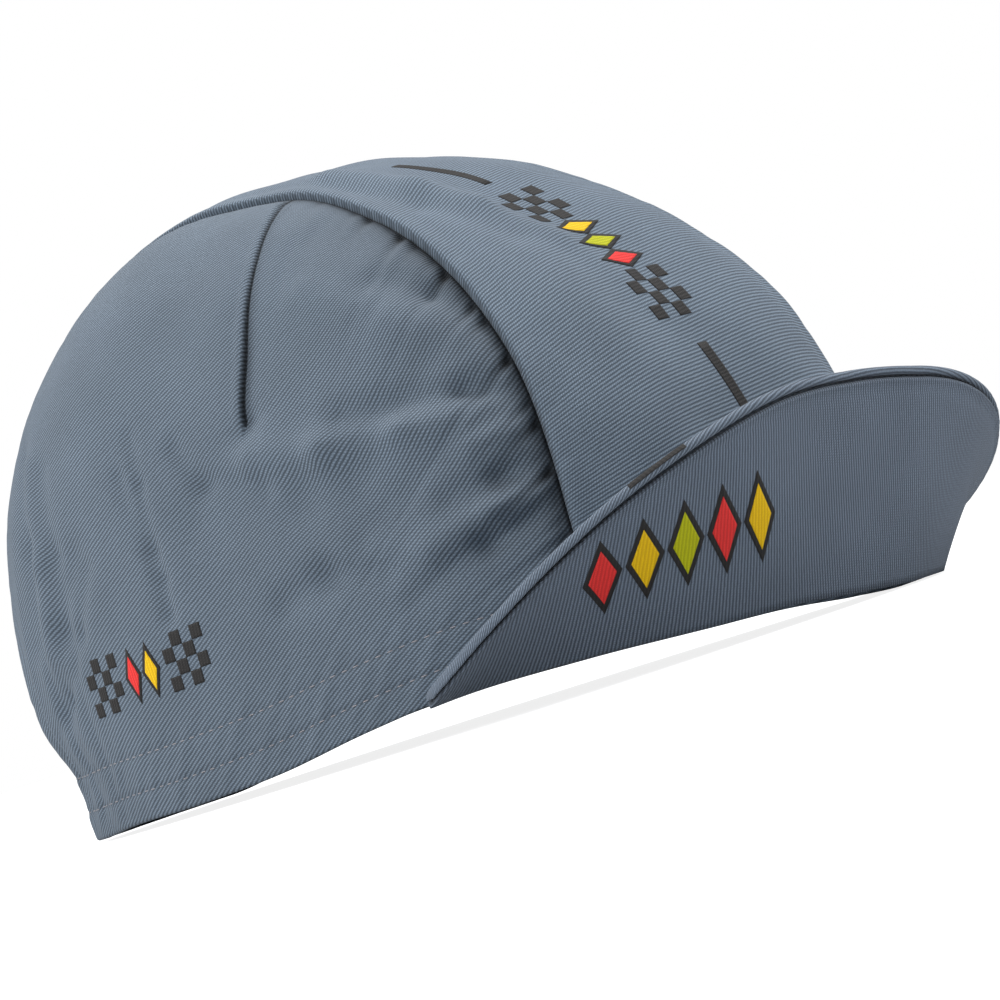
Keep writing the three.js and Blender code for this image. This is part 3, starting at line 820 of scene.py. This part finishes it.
class CAP_OT_side_panels(bpy.types.Operator):
    """Sews the two side panels of the crown, with their darts and folds"""

    bl_idname = "cap.side_panels"
    bl_label = "Side panels"

    def execute(self, context):
        group = 3
        s = lines(196, 0.78, group, [(0.53, 0.574, 0.2)])
        t = lines(128, 0.62, group)
        first, second = np.meshgrid(s, t, indexing="ij")
        a = 0.35 * np.sin((2 * first - 1) * np.pi / 2) + 0.65 * (2 * first - 1)
        p = a * np.sqrt(1 - second ** 2 / 2)
        q = second * np.sqrt(1 - a ** 2 / 2)
        u = np.arctan2(q, p)
        seam = share_at(u, seam_half_width(u) + PANEL_GAP)
        rho = seam * np.hypot(p, q)
        material = twill("cotton twill side panels", chosen("crown_side"), -27)
        few = (slice(None, None, group),) * 2
        for name, side in (("side_panel_right", -1), ("side_panel_left", 1)):
            plain = crown_at(u, rho, side)
            to_seam = np.linalg.norm(crown_at(u, seam, side) - plain, axis=-1)
            edge = np.minimum(to_seam + 0.35, plain[..., 2])
            outer = cloth(plain, rounding(edge))
            inner = cloth(plain[few], CROWN_WALL, fine=False)
            # Each panel's colour takes painted shade along its seams, dart and hem rows.
            panel = shell(outer, inner, side_chart(u, rho, side), group, crease(plain))
            make_piece(name + "_cloth", [panel], material, [name])
        return {"FINISHED"}


def wall_at(angle, z):
    """Point of the plain crown in a plan direction at a height, by halving the distance 40 times."""
    near, far = np.zeros_like(angle + z), np.full_like(angle + z, 2 * HALF_LENGTH)
    for _ in range(40):
        r = (near + far) / 2
        p = np.stack([r * np.sin(angle), -r * np.cos(angle), z + 0 * angle], -1)
        inside = field(p) < 1
        near, far = np.where(inside, r, near), np.where(inside, far, r)
    return np.stack([near * np.sin(angle), -near * np.cos(angle), z + 0 * angle], -1)


class CAP_OT_sweatband(bpy.types.Operator):
    """Sews the sweatband inside the hem"""

    bl_idname = "cap.sweatband"
    bl_label = "Sweatband"

    def execute(self, context):
        rows, edge = 22, 0.35
        angle = np.linspace(0, 2 * np.pi, 541)[:-1]
        up = BAND_WIDTH * (0.5 - 0.5 * np.cos(np.linspace(0.08, np.pi - 0.08, rows)))
        height = BAND_LIFT + np.concatenate([up, up[::-1]])
        across = np.concatenate([np.zeros(rows), np.full(rows, BAND_WALL)])
        across[[0, rows - 1, rows, -1]] = [edge, edge, BAND_WALL - edge, BAND_WALL - edge]
        turned, level = np.meshgrid(angle, height, indexing="ij")
        wall = wall_at(turned, level)
        behind = smooth(0.62, 0.8, turn(wall))
        run = BAND_RADIUS * turned
        drawn = 0.28 * behind * (1 + ripple(run, [(6.2, 0.6, 0.5), (9.7, 0.4, 2.0)]))
        slack = 0.12 * (1 + ripple(run + level, [(31.0, 0.6, 0.1), (19.0, 0.4, 1.4)]))
        inset = CROWN_WALL + BAND_GAP + across + (drawn + slack) * smooth(0, 3, level) * (across > 0.5)
        body = cloth(wall, inset, fine=False, ripples=False)
        body[..., 2] = wall[..., 2] + lift(wall)
        chart = np.stack([run, level], -1)
        material = twill("cotton twill sweatband", chosen("sweatband"), 38, depth=0.8)
        make_piece("sweatband_cloth", [loft(body, chart, ring=True)], material, ["sweatband"])
        return {"FINISHED"}


def peak_frame(s):
    """Root, direction along the cloth, direction to its front and depth of the peak's board at s, -1 to 1.
    Flare grows with s^2 from the middle to the corner; depth is PEAK_CORNER_DEPTH +
    (PEAK_DEPTH - PEAK_CORNER_DEPTH) (1 - |s|^PEAK_ROUND)^PEAK_SHOULDER."""
    angle = np.radians(np.where(s < 0, PEAK_HALF_ANGLE, PEAK_LEFT_ANGLE)) * s
    corner = np.where(s < 0, RIGHT_CORNER_FLARE, LEFT_CORNER_FLARE)
    flare = np.radians(MIDDLE_FLARE + (corner - MIDDLE_FLARE) * s * s)
    hem = wall_at(angle, np.zeros_like(angle))
    normal = outward(hem)
    zero, one = np.zeros_like(angle), np.ones_like(angle)
    out = np.stack([np.sin(angle), -np.cos(angle), zero], -1)
    up = np.stack([zero, zero, one], -1)
    cos, sin = np.cos(flare)[..., None], np.sin(flare)[..., None]
    along = out * sin + up * cos
    front = out * cos - up * sin
    back = TOP_COVER_WALL + COVER_GAP / 2
    reached = PEAK_SEAT_GAP + back * np.cos(flare) * (out * normal).sum(-1)
    root = hem + up * (lift(hem) + UNDER_COVER_WALL / 2)[..., None] + normal * reached[..., None]
    full = np.maximum(0, 1 - np.abs(s) ** PEAK_ROUND) ** PEAK_SHOULDER
    depth = PEAK_CORNER_DEPTH + (PEAK_DEPTH - PEAK_CORNER_DEPTH) * full
    return root, along, front, depth


def peak_chart(s, run):
    """The ruled board laid flat: each generator turns by the angles that it makes with its step along
    the root, and a point lies at its run along its own generator."""
    every = np.linspace(-1, 1, 801)
    root, along, _, _ = peak_frame(every)
    step = np.diff(root, axis=0)
    length = np.linalg.norm(step, axis=1)
    before = np.arccos(np.clip((step * along[:-1]).sum(1) / length, -1, 1))
    after = np.arccos(np.clip((step * along[1:]).sum(1) / length, -1, 1))
    theta = np.concatenate([[0], np.cumsum(after - before)])
    theta += np.pi / 2 - np.interp(0, every, theta)
    heading = theta[:-1] - before
    x = np.concatenate([[0], np.cumsum(length * np.cos(heading))])
    y = np.concatenate([[0], np.cumsum(length * np.sin(heading))])
    x0, y0, turned = (np.interp(s, every, values) for values in (x, y, theta))
    middle = np.interp(0, every, x)
    return np.stack([x0 - middle + run * np.cos(turned), y0 + run * np.sin(turned)], -1)


def peak_point(s, along_by, across_by):
    root, along, front, _ = peak_frame(s)
    p = root + along * along_by[..., None] + front * across_by[..., None]
    p[..., 2] = np.maximum(p[..., 2], 0)
    return p


def peak_steps(count):
    t = np.linspace(0, 1, count)
    return np.sin((2 * t - 1) * np.pi / 2) * 0.7 + (2 * t - 1) * 0.3


def arc(centre_along, centre_across, radius_along, radius_across, start, end, count):
    """Points of an ellipse's arc from start to end degrees: 0 is further along the cloth and 90 is to
    the front."""
    a = np.radians(np.linspace(start, end, count))
    return centre_along + radius_along * np.cos(a), centre_across + radius_across * np.sin(a)


class CAP_OT_peak(bpy.types.Operator):
    """Sews the peak: the board's underside cover and the top cover rolled over its rim"""

    bl_idname = "cap.peak"
    bl_label = "Peak"

    def execute(self, context):
        s = peak_steps(301)
        depth = peak_frame(s)[3]
        self.underside(s, depth)
        self.top(s, depth)
        return {"FINISHED"}

    def underside(self, s, depth):
        low = COVER_GAP / 2
        wall = UNDER_COVER_WALL
        count, rim_count, rim = 40, 12, 0.6
        face = 1 - (1 - np.linspace(0, 1, count)) ** 1.5
        rim_along, rim_across = arc(-rim, low + wall / 2, rim, wall / 2, 90, -90, rim_count)
        share = np.concatenate([face, np.ones(rim_count), face[::-2], np.zeros(3)])
        along = np.concatenate([-rim * face, rim_along, -rim * face[::-2], [0.0, -0.25, 0.0]])
        back_across = np.full(count // 2, low)
        root_across = [low + 0.2, low + wall / 2, low + wall - 0.2]
        across = np.concatenate([np.full(count, low + wall), rim_across, back_across, root_across])
        width = depth[:, None]
        run = share * width + along
        stand = self.cloth_relief(s[:, None], run, width) * (across > low + wall * 0.75)
        spread = np.broadcast_to(s[:, None], run.shape)
        body = peak_point(spread, run, across + stand)
        chart = peak_chart(spread, run + 0.8 * (low + wall - across) * (share > 0.99))
        material = twill(
            "cotton twill peak underside", chosen("peak_underside"), 90, fineness=1.05, depth=0.8)
        left = width - run
        # Painted shade: darker along the face's edge beside the rim's roll, and darker still on the edge
        # itself, in the groove between them.
        shade = 0.15 * hump(left - 0.6, 1.0) * (across > low + wall * 0.75)
        shade = shade + 0.45 * (share > 0.99) * (along > -0.15)
        cover = loft(body, chart, shade=shade)
        make_piece("peak_underside_cloth", [cover], material, ["peak_underside"])

    @staticmethod
    def cloth_relief(s, run, width):
        """Slight pull of the rim's stitches, and soft waves of the cloth over the board."""
        left = width - run
        angle = 120 * s
        pucker = 0.05 * hump(left - 1.6, 1.4) * ripple(angle, [(3.1, 0.6, 0), (5.3, 0.6, 1)])
        pull = pucker - 0.16 * hump(left - 2.6, 1.1)
        waves = 0.14 * ripple(angle, [(47.0, 0.6, 0.3), (29.0, 0.4, 1.9)])
        return pull * smooth(0, 3, run) + waves * smooth(0, 12, run) * smooth(0, 10, left)

    def top(self, s, depth):
        count = 34
        face = np.linspace(0, 1, count)
        front, back = -COVER_GAP / 2, -COVER_GAP / 2 - TOP_COVER_WALL
        roll_along, roll_across = arc(ROLL_ALONG, ROLL_ACROSS, *ROLL_RADII, 222, -138, count)
        along = np.concatenate([np.zeros(count), roll_along[::-1], np.zeros(count)])
        share = np.concatenate([face, np.ones(count), face[::-1]])
        across = np.concatenate([np.full(count, back), roll_across[::-1], np.full(count, front)])
        # The cover thins out to the peak's two corners.
        end = np.sqrt(np.clip((1 - np.abs(s)) / 0.03, 0.08, 1))[:, None]
        middle = (front + back) / 2
        around = np.concatenate([[0], np.cumsum(np.hypot(np.diff(along), np.diff(across)))])
        rolled = share > 0.99
        wrapped = share * depth[:, None] + np.where(rolled, around - around[count - 1], 0)
        # Painted shade: the side of the roll next to the board's edge is darker, in the groove between the
        # roll and the underside.
        lost = 0.55 * rolled * (across > -0.2) * smooth(COVER_GAP + 0.5, COVER_GAP - 0.1, along)
        run = share * depth[:, None] + along * end
        spread = np.broadcast_to(s[:, None], run.shape)
        angle = 120 * spread
        pucker = 0.05 * ripple(angle, [(2.6, 0.6, 0.2), (4.3, 0.6, 1.4)]) * rolled
        body = peak_point(spread, run, middle + (across - middle) * end + pucker)
        material = twill("cotton twill peak top", chosen("peak_top"), 8, depth=0.9)
        cover = loft(body, peak_chart(spread, wrapped), shade=np.broadcast_to(lost, run.shape))
        make_piece("peak_top_cloth", [cover], material, ["peak_top"])


def dashes(at, ahead, up, length, thickness):
    """Stitches: each a six-sided bar along its own direction, thick in the middle and dipping at its ends.
    Point = at + ahead length t + up rise(t) + a ring of radius thickness / 2 sqrt(1 - 0.94 (2t)^2)."""
    t = np.linspace(-0.5, 0.5, 5)
    side = np.cross(up, ahead)
    radius = 0.5 * thickness * np.sqrt(np.maximum(0.06, 1 - (2 * t) ** 2 * 0.94))
    rise = 0.35 * thickness * (1 - 2.2 * (2 * t) ** 2)
    ring = np.linspace(0, 2 * np.pi, 7)[:-1]
    n = len(at)
    points = (at[:, None, None] + ahead[:, None, None] * (length * t)[None, :, None, None]
              + up[:, None, None] * (rise[:, None] + radius[:, None] * np.sin(ring))[None, :, :, None]
              + side[:, None, None] * (radius[:, None] * np.cos(ring))[None, :, :, None])
    k = np.arange(6)
    band = np.array([(i * 6 + a, i * 6 + b, (i + 1) * 6 + b, (i + 1) * 6 + a)
                     for i in range(4) for a, b in zip(k, (k + 1) % 6)])
    start = np.arange(n)[:, None, None] * 30
    faces = (start + band).reshape(-1, 4).tolist()
    faces += (start[:, 0] + k[::-1]).tolist() + (start[:, 0] + 24 + k).tolist()
    chart = np.stack(np.meshgrid(length * t, ring * thickness / 2, indexing="ij"), -1)
    chart = np.broadcast_to(chart, (n, 5, 6, 2))
    return points.reshape(-1, 3), faces, chart.reshape(-1, 2), np.zeros(n * 30)


def unit(v):
    return v / np.linalg.norm(v, axis=-1, keepdims=True)


def run_along(path):
    """Length from the start of a path, (n, 3), to each of its points."""
    return np.concatenate([[0], np.cumsum(np.linalg.norm(np.diff(path, axis=0), axis=1))])


def along_path(path, pitch, phase=0.5):
    """Points every pitch along a fine path, (n, 3), with their directions."""
    run = run_along(path)
    count = int(run[-1] / pitch)
    at = (np.arange(count) + phase) * run[-1] / count
    place = np.stack([np.interp(at, run, path[:, i]) for i in range(3)], -1)
    nearby = np.stack([np.interp(at + 0.2, run, path[:, i]) for i in range(3)], -1)
    return place, unit(nearby - place)


class CAP_OT_stitching(bpy.types.Operator):
    """Sews the rows of stitches of the hem and of the peak's rim"""

    bl_idname = "cap.stitching"
    bl_label = "Stitching"

    def execute(self, context):
        thread = spun_thread("spun polyester thread pale", chosen("hem_thread"))
        dark = spun_thread("spun polyester thread dark", chosen("peak_thread"))
        angle = np.linspace(0, 2 * np.pi, 2400)
        rows = []
        for height, phase in ((millimetres("hem_turn"), 0.5), (millimetres("hem_low_row"), 0.2)):
            wall = wall_at(angle, height + 0 * angle)
            path = cloth(wall, 0)
            place, ahead = along_path(path, millimetres("stitch_pitch"), phase)
            length, thickness = millimetres("stitch_length"), millimetres("thread")
            rows.append(dashes(place, ahead, outward(place), length, thickness))
        make_piece("hem_stitches", rows, thread)
        s = np.linspace(-0.985, 0.985, 1600)
        depth = peak_frame(s)[3]
        path = peak_point(s, depth + 0.28, np.full_like(s, 0.62))
        place, ahead = along_path(path, 1.9)
        run = run_along(path)
        at = (np.arange(len(place)) + 0.5) * run[-1] / len(place)
        front = peak_frame(np.interp(at, run, s))[2]
        make_piece("rim_stitches", [dashes(place, ahead, front, 1.2, 0.22)], dark)
        return {"FINISHED"}


def on_centre(run, x, raised):
    """Point over the centre panel's cloth at a run from the front hem and a distance across."""
    u = angle_at_run(run)
    return cloth(crown_at(u, share_at(u, x), np.where(x < 0, -1, 1)), -raised), np.stack([run, x], -1)


def on_right_side(forward, up, raised):
    """Point over the right side panel's cloth, by its place seen from the side."""
    u = np.arctan2(up, forward)
    rho = np.hypot(forward, up) / reach(u)
    return cloth(crown_at(u, rho, -1), -raised), side_chart(u, rho, -1)


def on_peak(along, run, raised):
    """Point over the peak's underside by its place along the peak's root and its run up from there."""
    every = np.linspace(-1, 1, 801)
    length = run_along(peak_frame(every)[0])
    s = np.interp(along, length - np.interp(0, every, length), every)
    stand = CAP_OT_peak.cloth_relief(s, run, peak_frame(s)[3])
    return peak_point(s, run, COVER_GAP / 2 + UNDER_COVER_WALL + stand + raised), peak_chart(s, run)


def on_rim(s, degrees, raised):
    """Point over the roll of the rim, at a place along the peak and an angle round the roll."""
    a = np.radians(degrees)
    depth = peak_frame(s)[3]
    along, across = ROLL_RADII
    run = depth + ROLL_ALONG + (along + raised) * np.cos(a)
    point = peak_point(s, run, ROLL_ACROSS + (across + raised) * np.sin(a))
    return point, peak_chart(s, depth + 0.02 * degrees)


def patch(corners, place, raised, cells):
    """A thin print on the cloth: the bilinear grid between four corners, set into the cloth underneath."""
    a, b, c, d = np.asarray(corners, float)[:, None, None]
    s, t = np.meshgrid(np.linspace(0, 1, cells[0] + 1), np.linspace(0, 1, cells[1] + 1), indexing="ij")
    s, t = s[..., None], t[..., None]
    flat = (a * (1 - s) + b * s) * (1 - t) + (d * (1 - s) + c * s) * t
    top, chart = place(flat[..., 0], flat[..., 1], raised)
    return shell(top, place(flat[..., 0], flat[..., 1], -0.3)[0], chart, 1)


def box(x0, y0, x1, y1):
    return [(x0, y0), (x1, y0), (x1, y1), (x0, y1)]


def lozenge(x, y, half_x, half_y):
    return [(x - half_x, y), (x, y - half_y), (x + half_x, y), (x, y + half_y)]


def chequers(x, y, columns, rows, side):
    """The dark squares of a chequered strip whose first corner is at x, y."""
    return [box(x + i * side, y + j * side, x + (i + 1) * side, y + (j + 1) * side)
            for i in range(columns) for j in range(rows) if (i + j) % 2 == 0]


class CAP_OT_prints(bpy.types.Operator):
    """Prints the stripes, chequers and lozenges on the crown and the peak"""

    bl_idname = "cap.prints"
    bl_label = "Prints"

    def execute(self, context):
        black = self.ink("screen print ink black", "ink_black", -82)
        black_peak = self.ink("screen print ink black on the peak", "ink_black", 90)
        inks = {
            name: self.ink("screen print ink " + name, "ink_" + name, 90)
            for name in ("red", "yellow", "lime")
        }
        start, end = seam_run(np.pi * np.array([0.146, 0.202]))
        back = seam_run(np.pi * np.array([0.383, 0.451]))
        first, last = seam_run(np.pi * np.array([0.224, 0.368]))
        square = 3.75
        middle = (first + last) / 2
        marks = [(middle + dx, 0.0) for dx in (-6.6, 0.0, 6.6)]
        shapes = [box(start, -1.5, end, 1.5), box(back[0], -1.2, back[1], 1.2)]
        shapes += chequers(first, -7.5, 4, 4, square) + chequers(last - 4 * square, -7.5, 4, 4, square)
        shapes += [lozenge(*at, 3.3, 7.5) for at in marks]
        self.stamp("crown_print_black", shapes, on_centre, (10, 8), black, "crown_centre")
        for name, at in zip(("red", "lime", "yellow"), marks):
            shapes = [lozenge(*at, 2.1, 5.2)]
            self.stamp("crown_print_" + name, shapes, on_centre, (10, 10), inks[name], "crown_centre", True)
        left, low, square = -50.0, 24.5, 3.15
        marks = [(left + along, low + 2 * square) for along in (17.4, 23.6)]
        shapes = chequers(left, low, 4, 4, square) + chequers(left + 28.4, low, 4, 4, square)
        shapes += [lozenge(*at, 2.9, 6.3) for at in marks]
        self.stamp("side_print_black", shapes, on_right_side, (6, 6), black, "crown_side")
        for name, at in zip(("red", "yellow"), marks):
            shapes = [lozenge(*at, 1.9, 4.4)]
            self.stamp("side_print_" + name, shapes, on_right_side, (8, 8), inks[name], "crown_side", True)
        marks = [(PEAK_PRINT_ALONG + i * 8.8, PEAK_PRINT_HEIGHT) for i in (-2, -1, 0, 1, 2)]
        shapes = [lozenge(*at, 4.1, 10.0) for at in marks]
        self.stamp("peak_print_black", shapes, on_peak, (12, 12), black_peak, "peak_underside")
        bar = [(-0.54, -60.0), (-0.425, -60.0), (-0.425, 40.0), (-0.54, 40.0)]
        make_piece("rim_print_black", [patch(bar, on_rim, 0.07, (24, 12))], black)
        for name, places in (("red", (0, 3)), ("yellow", (1, 4)), ("lime", (2,))):
            shapes = [lozenge(*marks[i], 2.9, 7.2) for i in places]
            self.stamp("peak_print_" + name, shapes, on_peak, (12, 12), inks[name], "peak_underside", True)
        return {"FINISHED"}

    @staticmethod
    def stamp(name, shapes, place, cells, ink, slot, on_print=False):
        """Prints shapes on the cloth, or on a print that is there already."""
        raised = PRINT_ON_PRINT_RAISED if on_print else PRINT_RAISED
        make_piece(name, [patch(corners, place, raised, cells) for corners in shapes], ink)

    @staticmethod
    def ink(name, key, degrees):
        """Matt screen print ink soaked into twill: an even strong colour through which the ribs show."""
        return twill(name, chosen(key), degrees, depth=0.7, contrast=0.35, roughness=0.7, sheen=0.0)


class CAP_OT_stage(bpy.types.Operator):
    """Sets the pale floor, the soft studio light and the camera"""

    bl_idname = "cap.stage"
    bl_label = "Stage"

    def execute(self, context):
        scene = context.scene
        scene.view_settings.view_transform = "Standard"
        self.floor(scene)
        self.world(scene)
        for row in (
            ("rear top light", (-0.1, 0.35, 1.6), 1.1, 7.0),
            ("front top light", (0.7, -0.3, 1.4), 1.1, 15.0),
            ("front light", (0.9, -1.3, 0.9), 1.2, 9.0),
            ("side light", (-1.4, 0.3, 0.5), 1.0, 11.0),
            ("rear light", (-0.5, 1.3, 0.8), 1.0, 6.3),
        ):
            self.light(scene, *row)
        self.camera(scene)
        return {"FINISHED"}

    @staticmethod
    def floor(scene):
        mesh = bpy.data.meshes.new("floor")
        sides = 96
        ring = np.linspace(0, 2 * np.pi, sides + 1)[:-1]
        r = np.array([0.02, 0.3, 1.0, 3.0, 6.0])[:, None]
        low = np.full((len(r), sides), -0.0004)
        points = np.stack([r * np.cos(ring), r * np.sin(ring), low], -1)
        faces = quads(len(r), sides).tolist()
        faces += [[i + sides - 1, i + 2 * sides - 1, i + sides, i] for i in range(0, 4 * sides, sides)]
        faces.append(list(range(sides)))
        mesh.from_pydata(points.reshape(-1, 3).tolist(), [], faces)
        # Backlit opal acrylic of a product table: pale, matt, with only a faint shadow.
        material = bpy.data.materials.new("opal acrylic light table")
        material.use_nodes = True
        shader = material.node_tree.nodes["Principled BSDF"]
        shader.inputs["Base Color"].default_value = linear("#b4b6b8")
        shader.inputs["Roughness"].default_value = 0.9
        shader.inputs["Emission Color"].default_value = (1, 1, 1, 1)
        lit = add(material.node_tree, "ShaderNodeLightPath").outputs["Is Camera Ray"]
        glow = add(material.node_tree, "ShaderNodeMapRange", {
            "Value": lit, "To Min": 0.0, "To Max": 0.85}).outputs["Result"]
        material.node_tree.links.new(glow, shader.inputs["Emission Strength"])
        mesh.materials.append(material)
        floor = bpy.data.objects.new("floor", mesh)
        scene.collection.objects.link(floor)

    @staticmethod
    def world(scene):
        world = bpy.data.worlds.new("studio")
        scene.world = world
        world.use_nodes = True
        tree = world.node_tree
        tree.nodes.clear()
        path = add(tree, "ShaderNodeLightPath").outputs["Is Camera Ray"]
        strength = add(tree, "ShaderNodeMapRange", {
            "Value": path, "To Min": 0.48, "To Max": 1.0}).outputs["Result"]
        background = add(tree, "ShaderNodeBackground", {"Color": (1, 1, 1, 1), "Strength": strength})
        add(tree, "ShaderNodeOutputWorld", {"Surface": background.outputs["Background"]})

    @staticmethod
    def light(scene, name, place, width, power_watts):
        light = bpy.data.lights.new(name, "AREA")
        light.shape = "DISK"
        light.size = width
        light.energy = power_watts
        lamp = bpy.data.objects.new(name, light)
        lamp.location = place
        aim = Vector((0, 0, 0.05)) - lamp.location
        lamp.rotation_euler = aim.to_track_quat("-Z", "Y").to_euler()
        scene.collection.objects.link(lamp)

    @staticmethod
    def camera(scene):
        """The camera sees the cap's right and front from just above the floor, with the cap tipped."""
        phi, rise, roll = np.radians([50.223, -1.3, 17.992])
        right = np.array([np.cos(phi), -np.sin(phi), 0])
        up = np.array([np.sin(rise) * np.sin(phi), np.sin(rise) * np.cos(phi), np.cos(rise)])
        towards = np.cross(right, up)
        image_right = right * np.cos(roll) - up * np.sin(roll)
        image_up = right * np.sin(roll) + up * np.cos(roll)
        target = np.array([0, FRAME_SHIFT[1] / 1000, 0.055])
        distance = 1.5
        data = bpy.data.cameras.new("camera")
        data.sensor_width = 36
        data.lens = data.sensor_width * distance * PIXELS_PER_MM
        # The target is at these shares of the picture's width and height.
        data.shift_x = 0.5 - 0.425058
        data.shift_y = 0.472523 - 0.5
        data.clip_start, data.clip_end = 0.1, 40
        camera = bpy.data.objects.new("camera", data)
        place = np.eye(4)
        place[:3, 0], place[:3, 1], place[:3, 2] = image_right, image_up, towards
        place[:3, 3] = target + distance * towards
        camera.matrix_world = Matrix(place.tolist())
        scene.collection.objects.link(camera)
        scene.camera = camera


class CAP_PT_panel(bpy.types.Panel):
    """Lists the cap's pieces, sizes and colours"""

    bl_label = "Cycling cap"
    bl_idname = "CAP_PT_panel"
    bl_space_type = "VIEW_3D"
    bl_region_type = "UI"
    bl_category = "Cap"

    def draw(self, context):
        for operator in OPERATORS:
            self.layout.operator(operator.bl_idname)
        for group in (context.scene.cap_sizes, context.scene.cap_colours):
            for name in group.bl_rna.properties.keys():
                if name not in ("rna_type", "name"):
                    self.layout.prop(group, name)


OPERATORS = (
    CAP_OT_centre_panel,
    CAP_OT_side_panels,
    CAP_OT_sweatband,
    CAP_OT_peak,
    CAP_OT_stitching,
    CAP_OT_prints,
    CAP_OT_stage,
)
CLASSES = (CapSizes, CapColours, *OPERATORS, CAP_PT_panel)


def register():
    for cls in CLASSES:
        bpy.utils.register_class(cls)
    bpy.types.Scene.cap_sizes = bpy.props.PointerProperty(type=CapSizes)
    bpy.types.Scene.cap_colours = bpy.props.PointerProperty(type=CapColours)


def unregister():
    del bpy.types.Scene.cap_sizes
    del bpy.types.Scene.cap_colours
    for cls in reversed(CLASSES):
        bpy.utils.unregister_class(cls)


def main():
    register()
    bpy.ops.cap.centre_panel()
    bpy.ops.cap.side_panels()
    bpy.ops.cap.sweatband()
    bpy.ops.cap.peak()
    bpy.ops.cap.stitching()
    bpy.ops.cap.prints()
    bpy.ops.cap.stage()


if __name__ == "__main__":
    main()
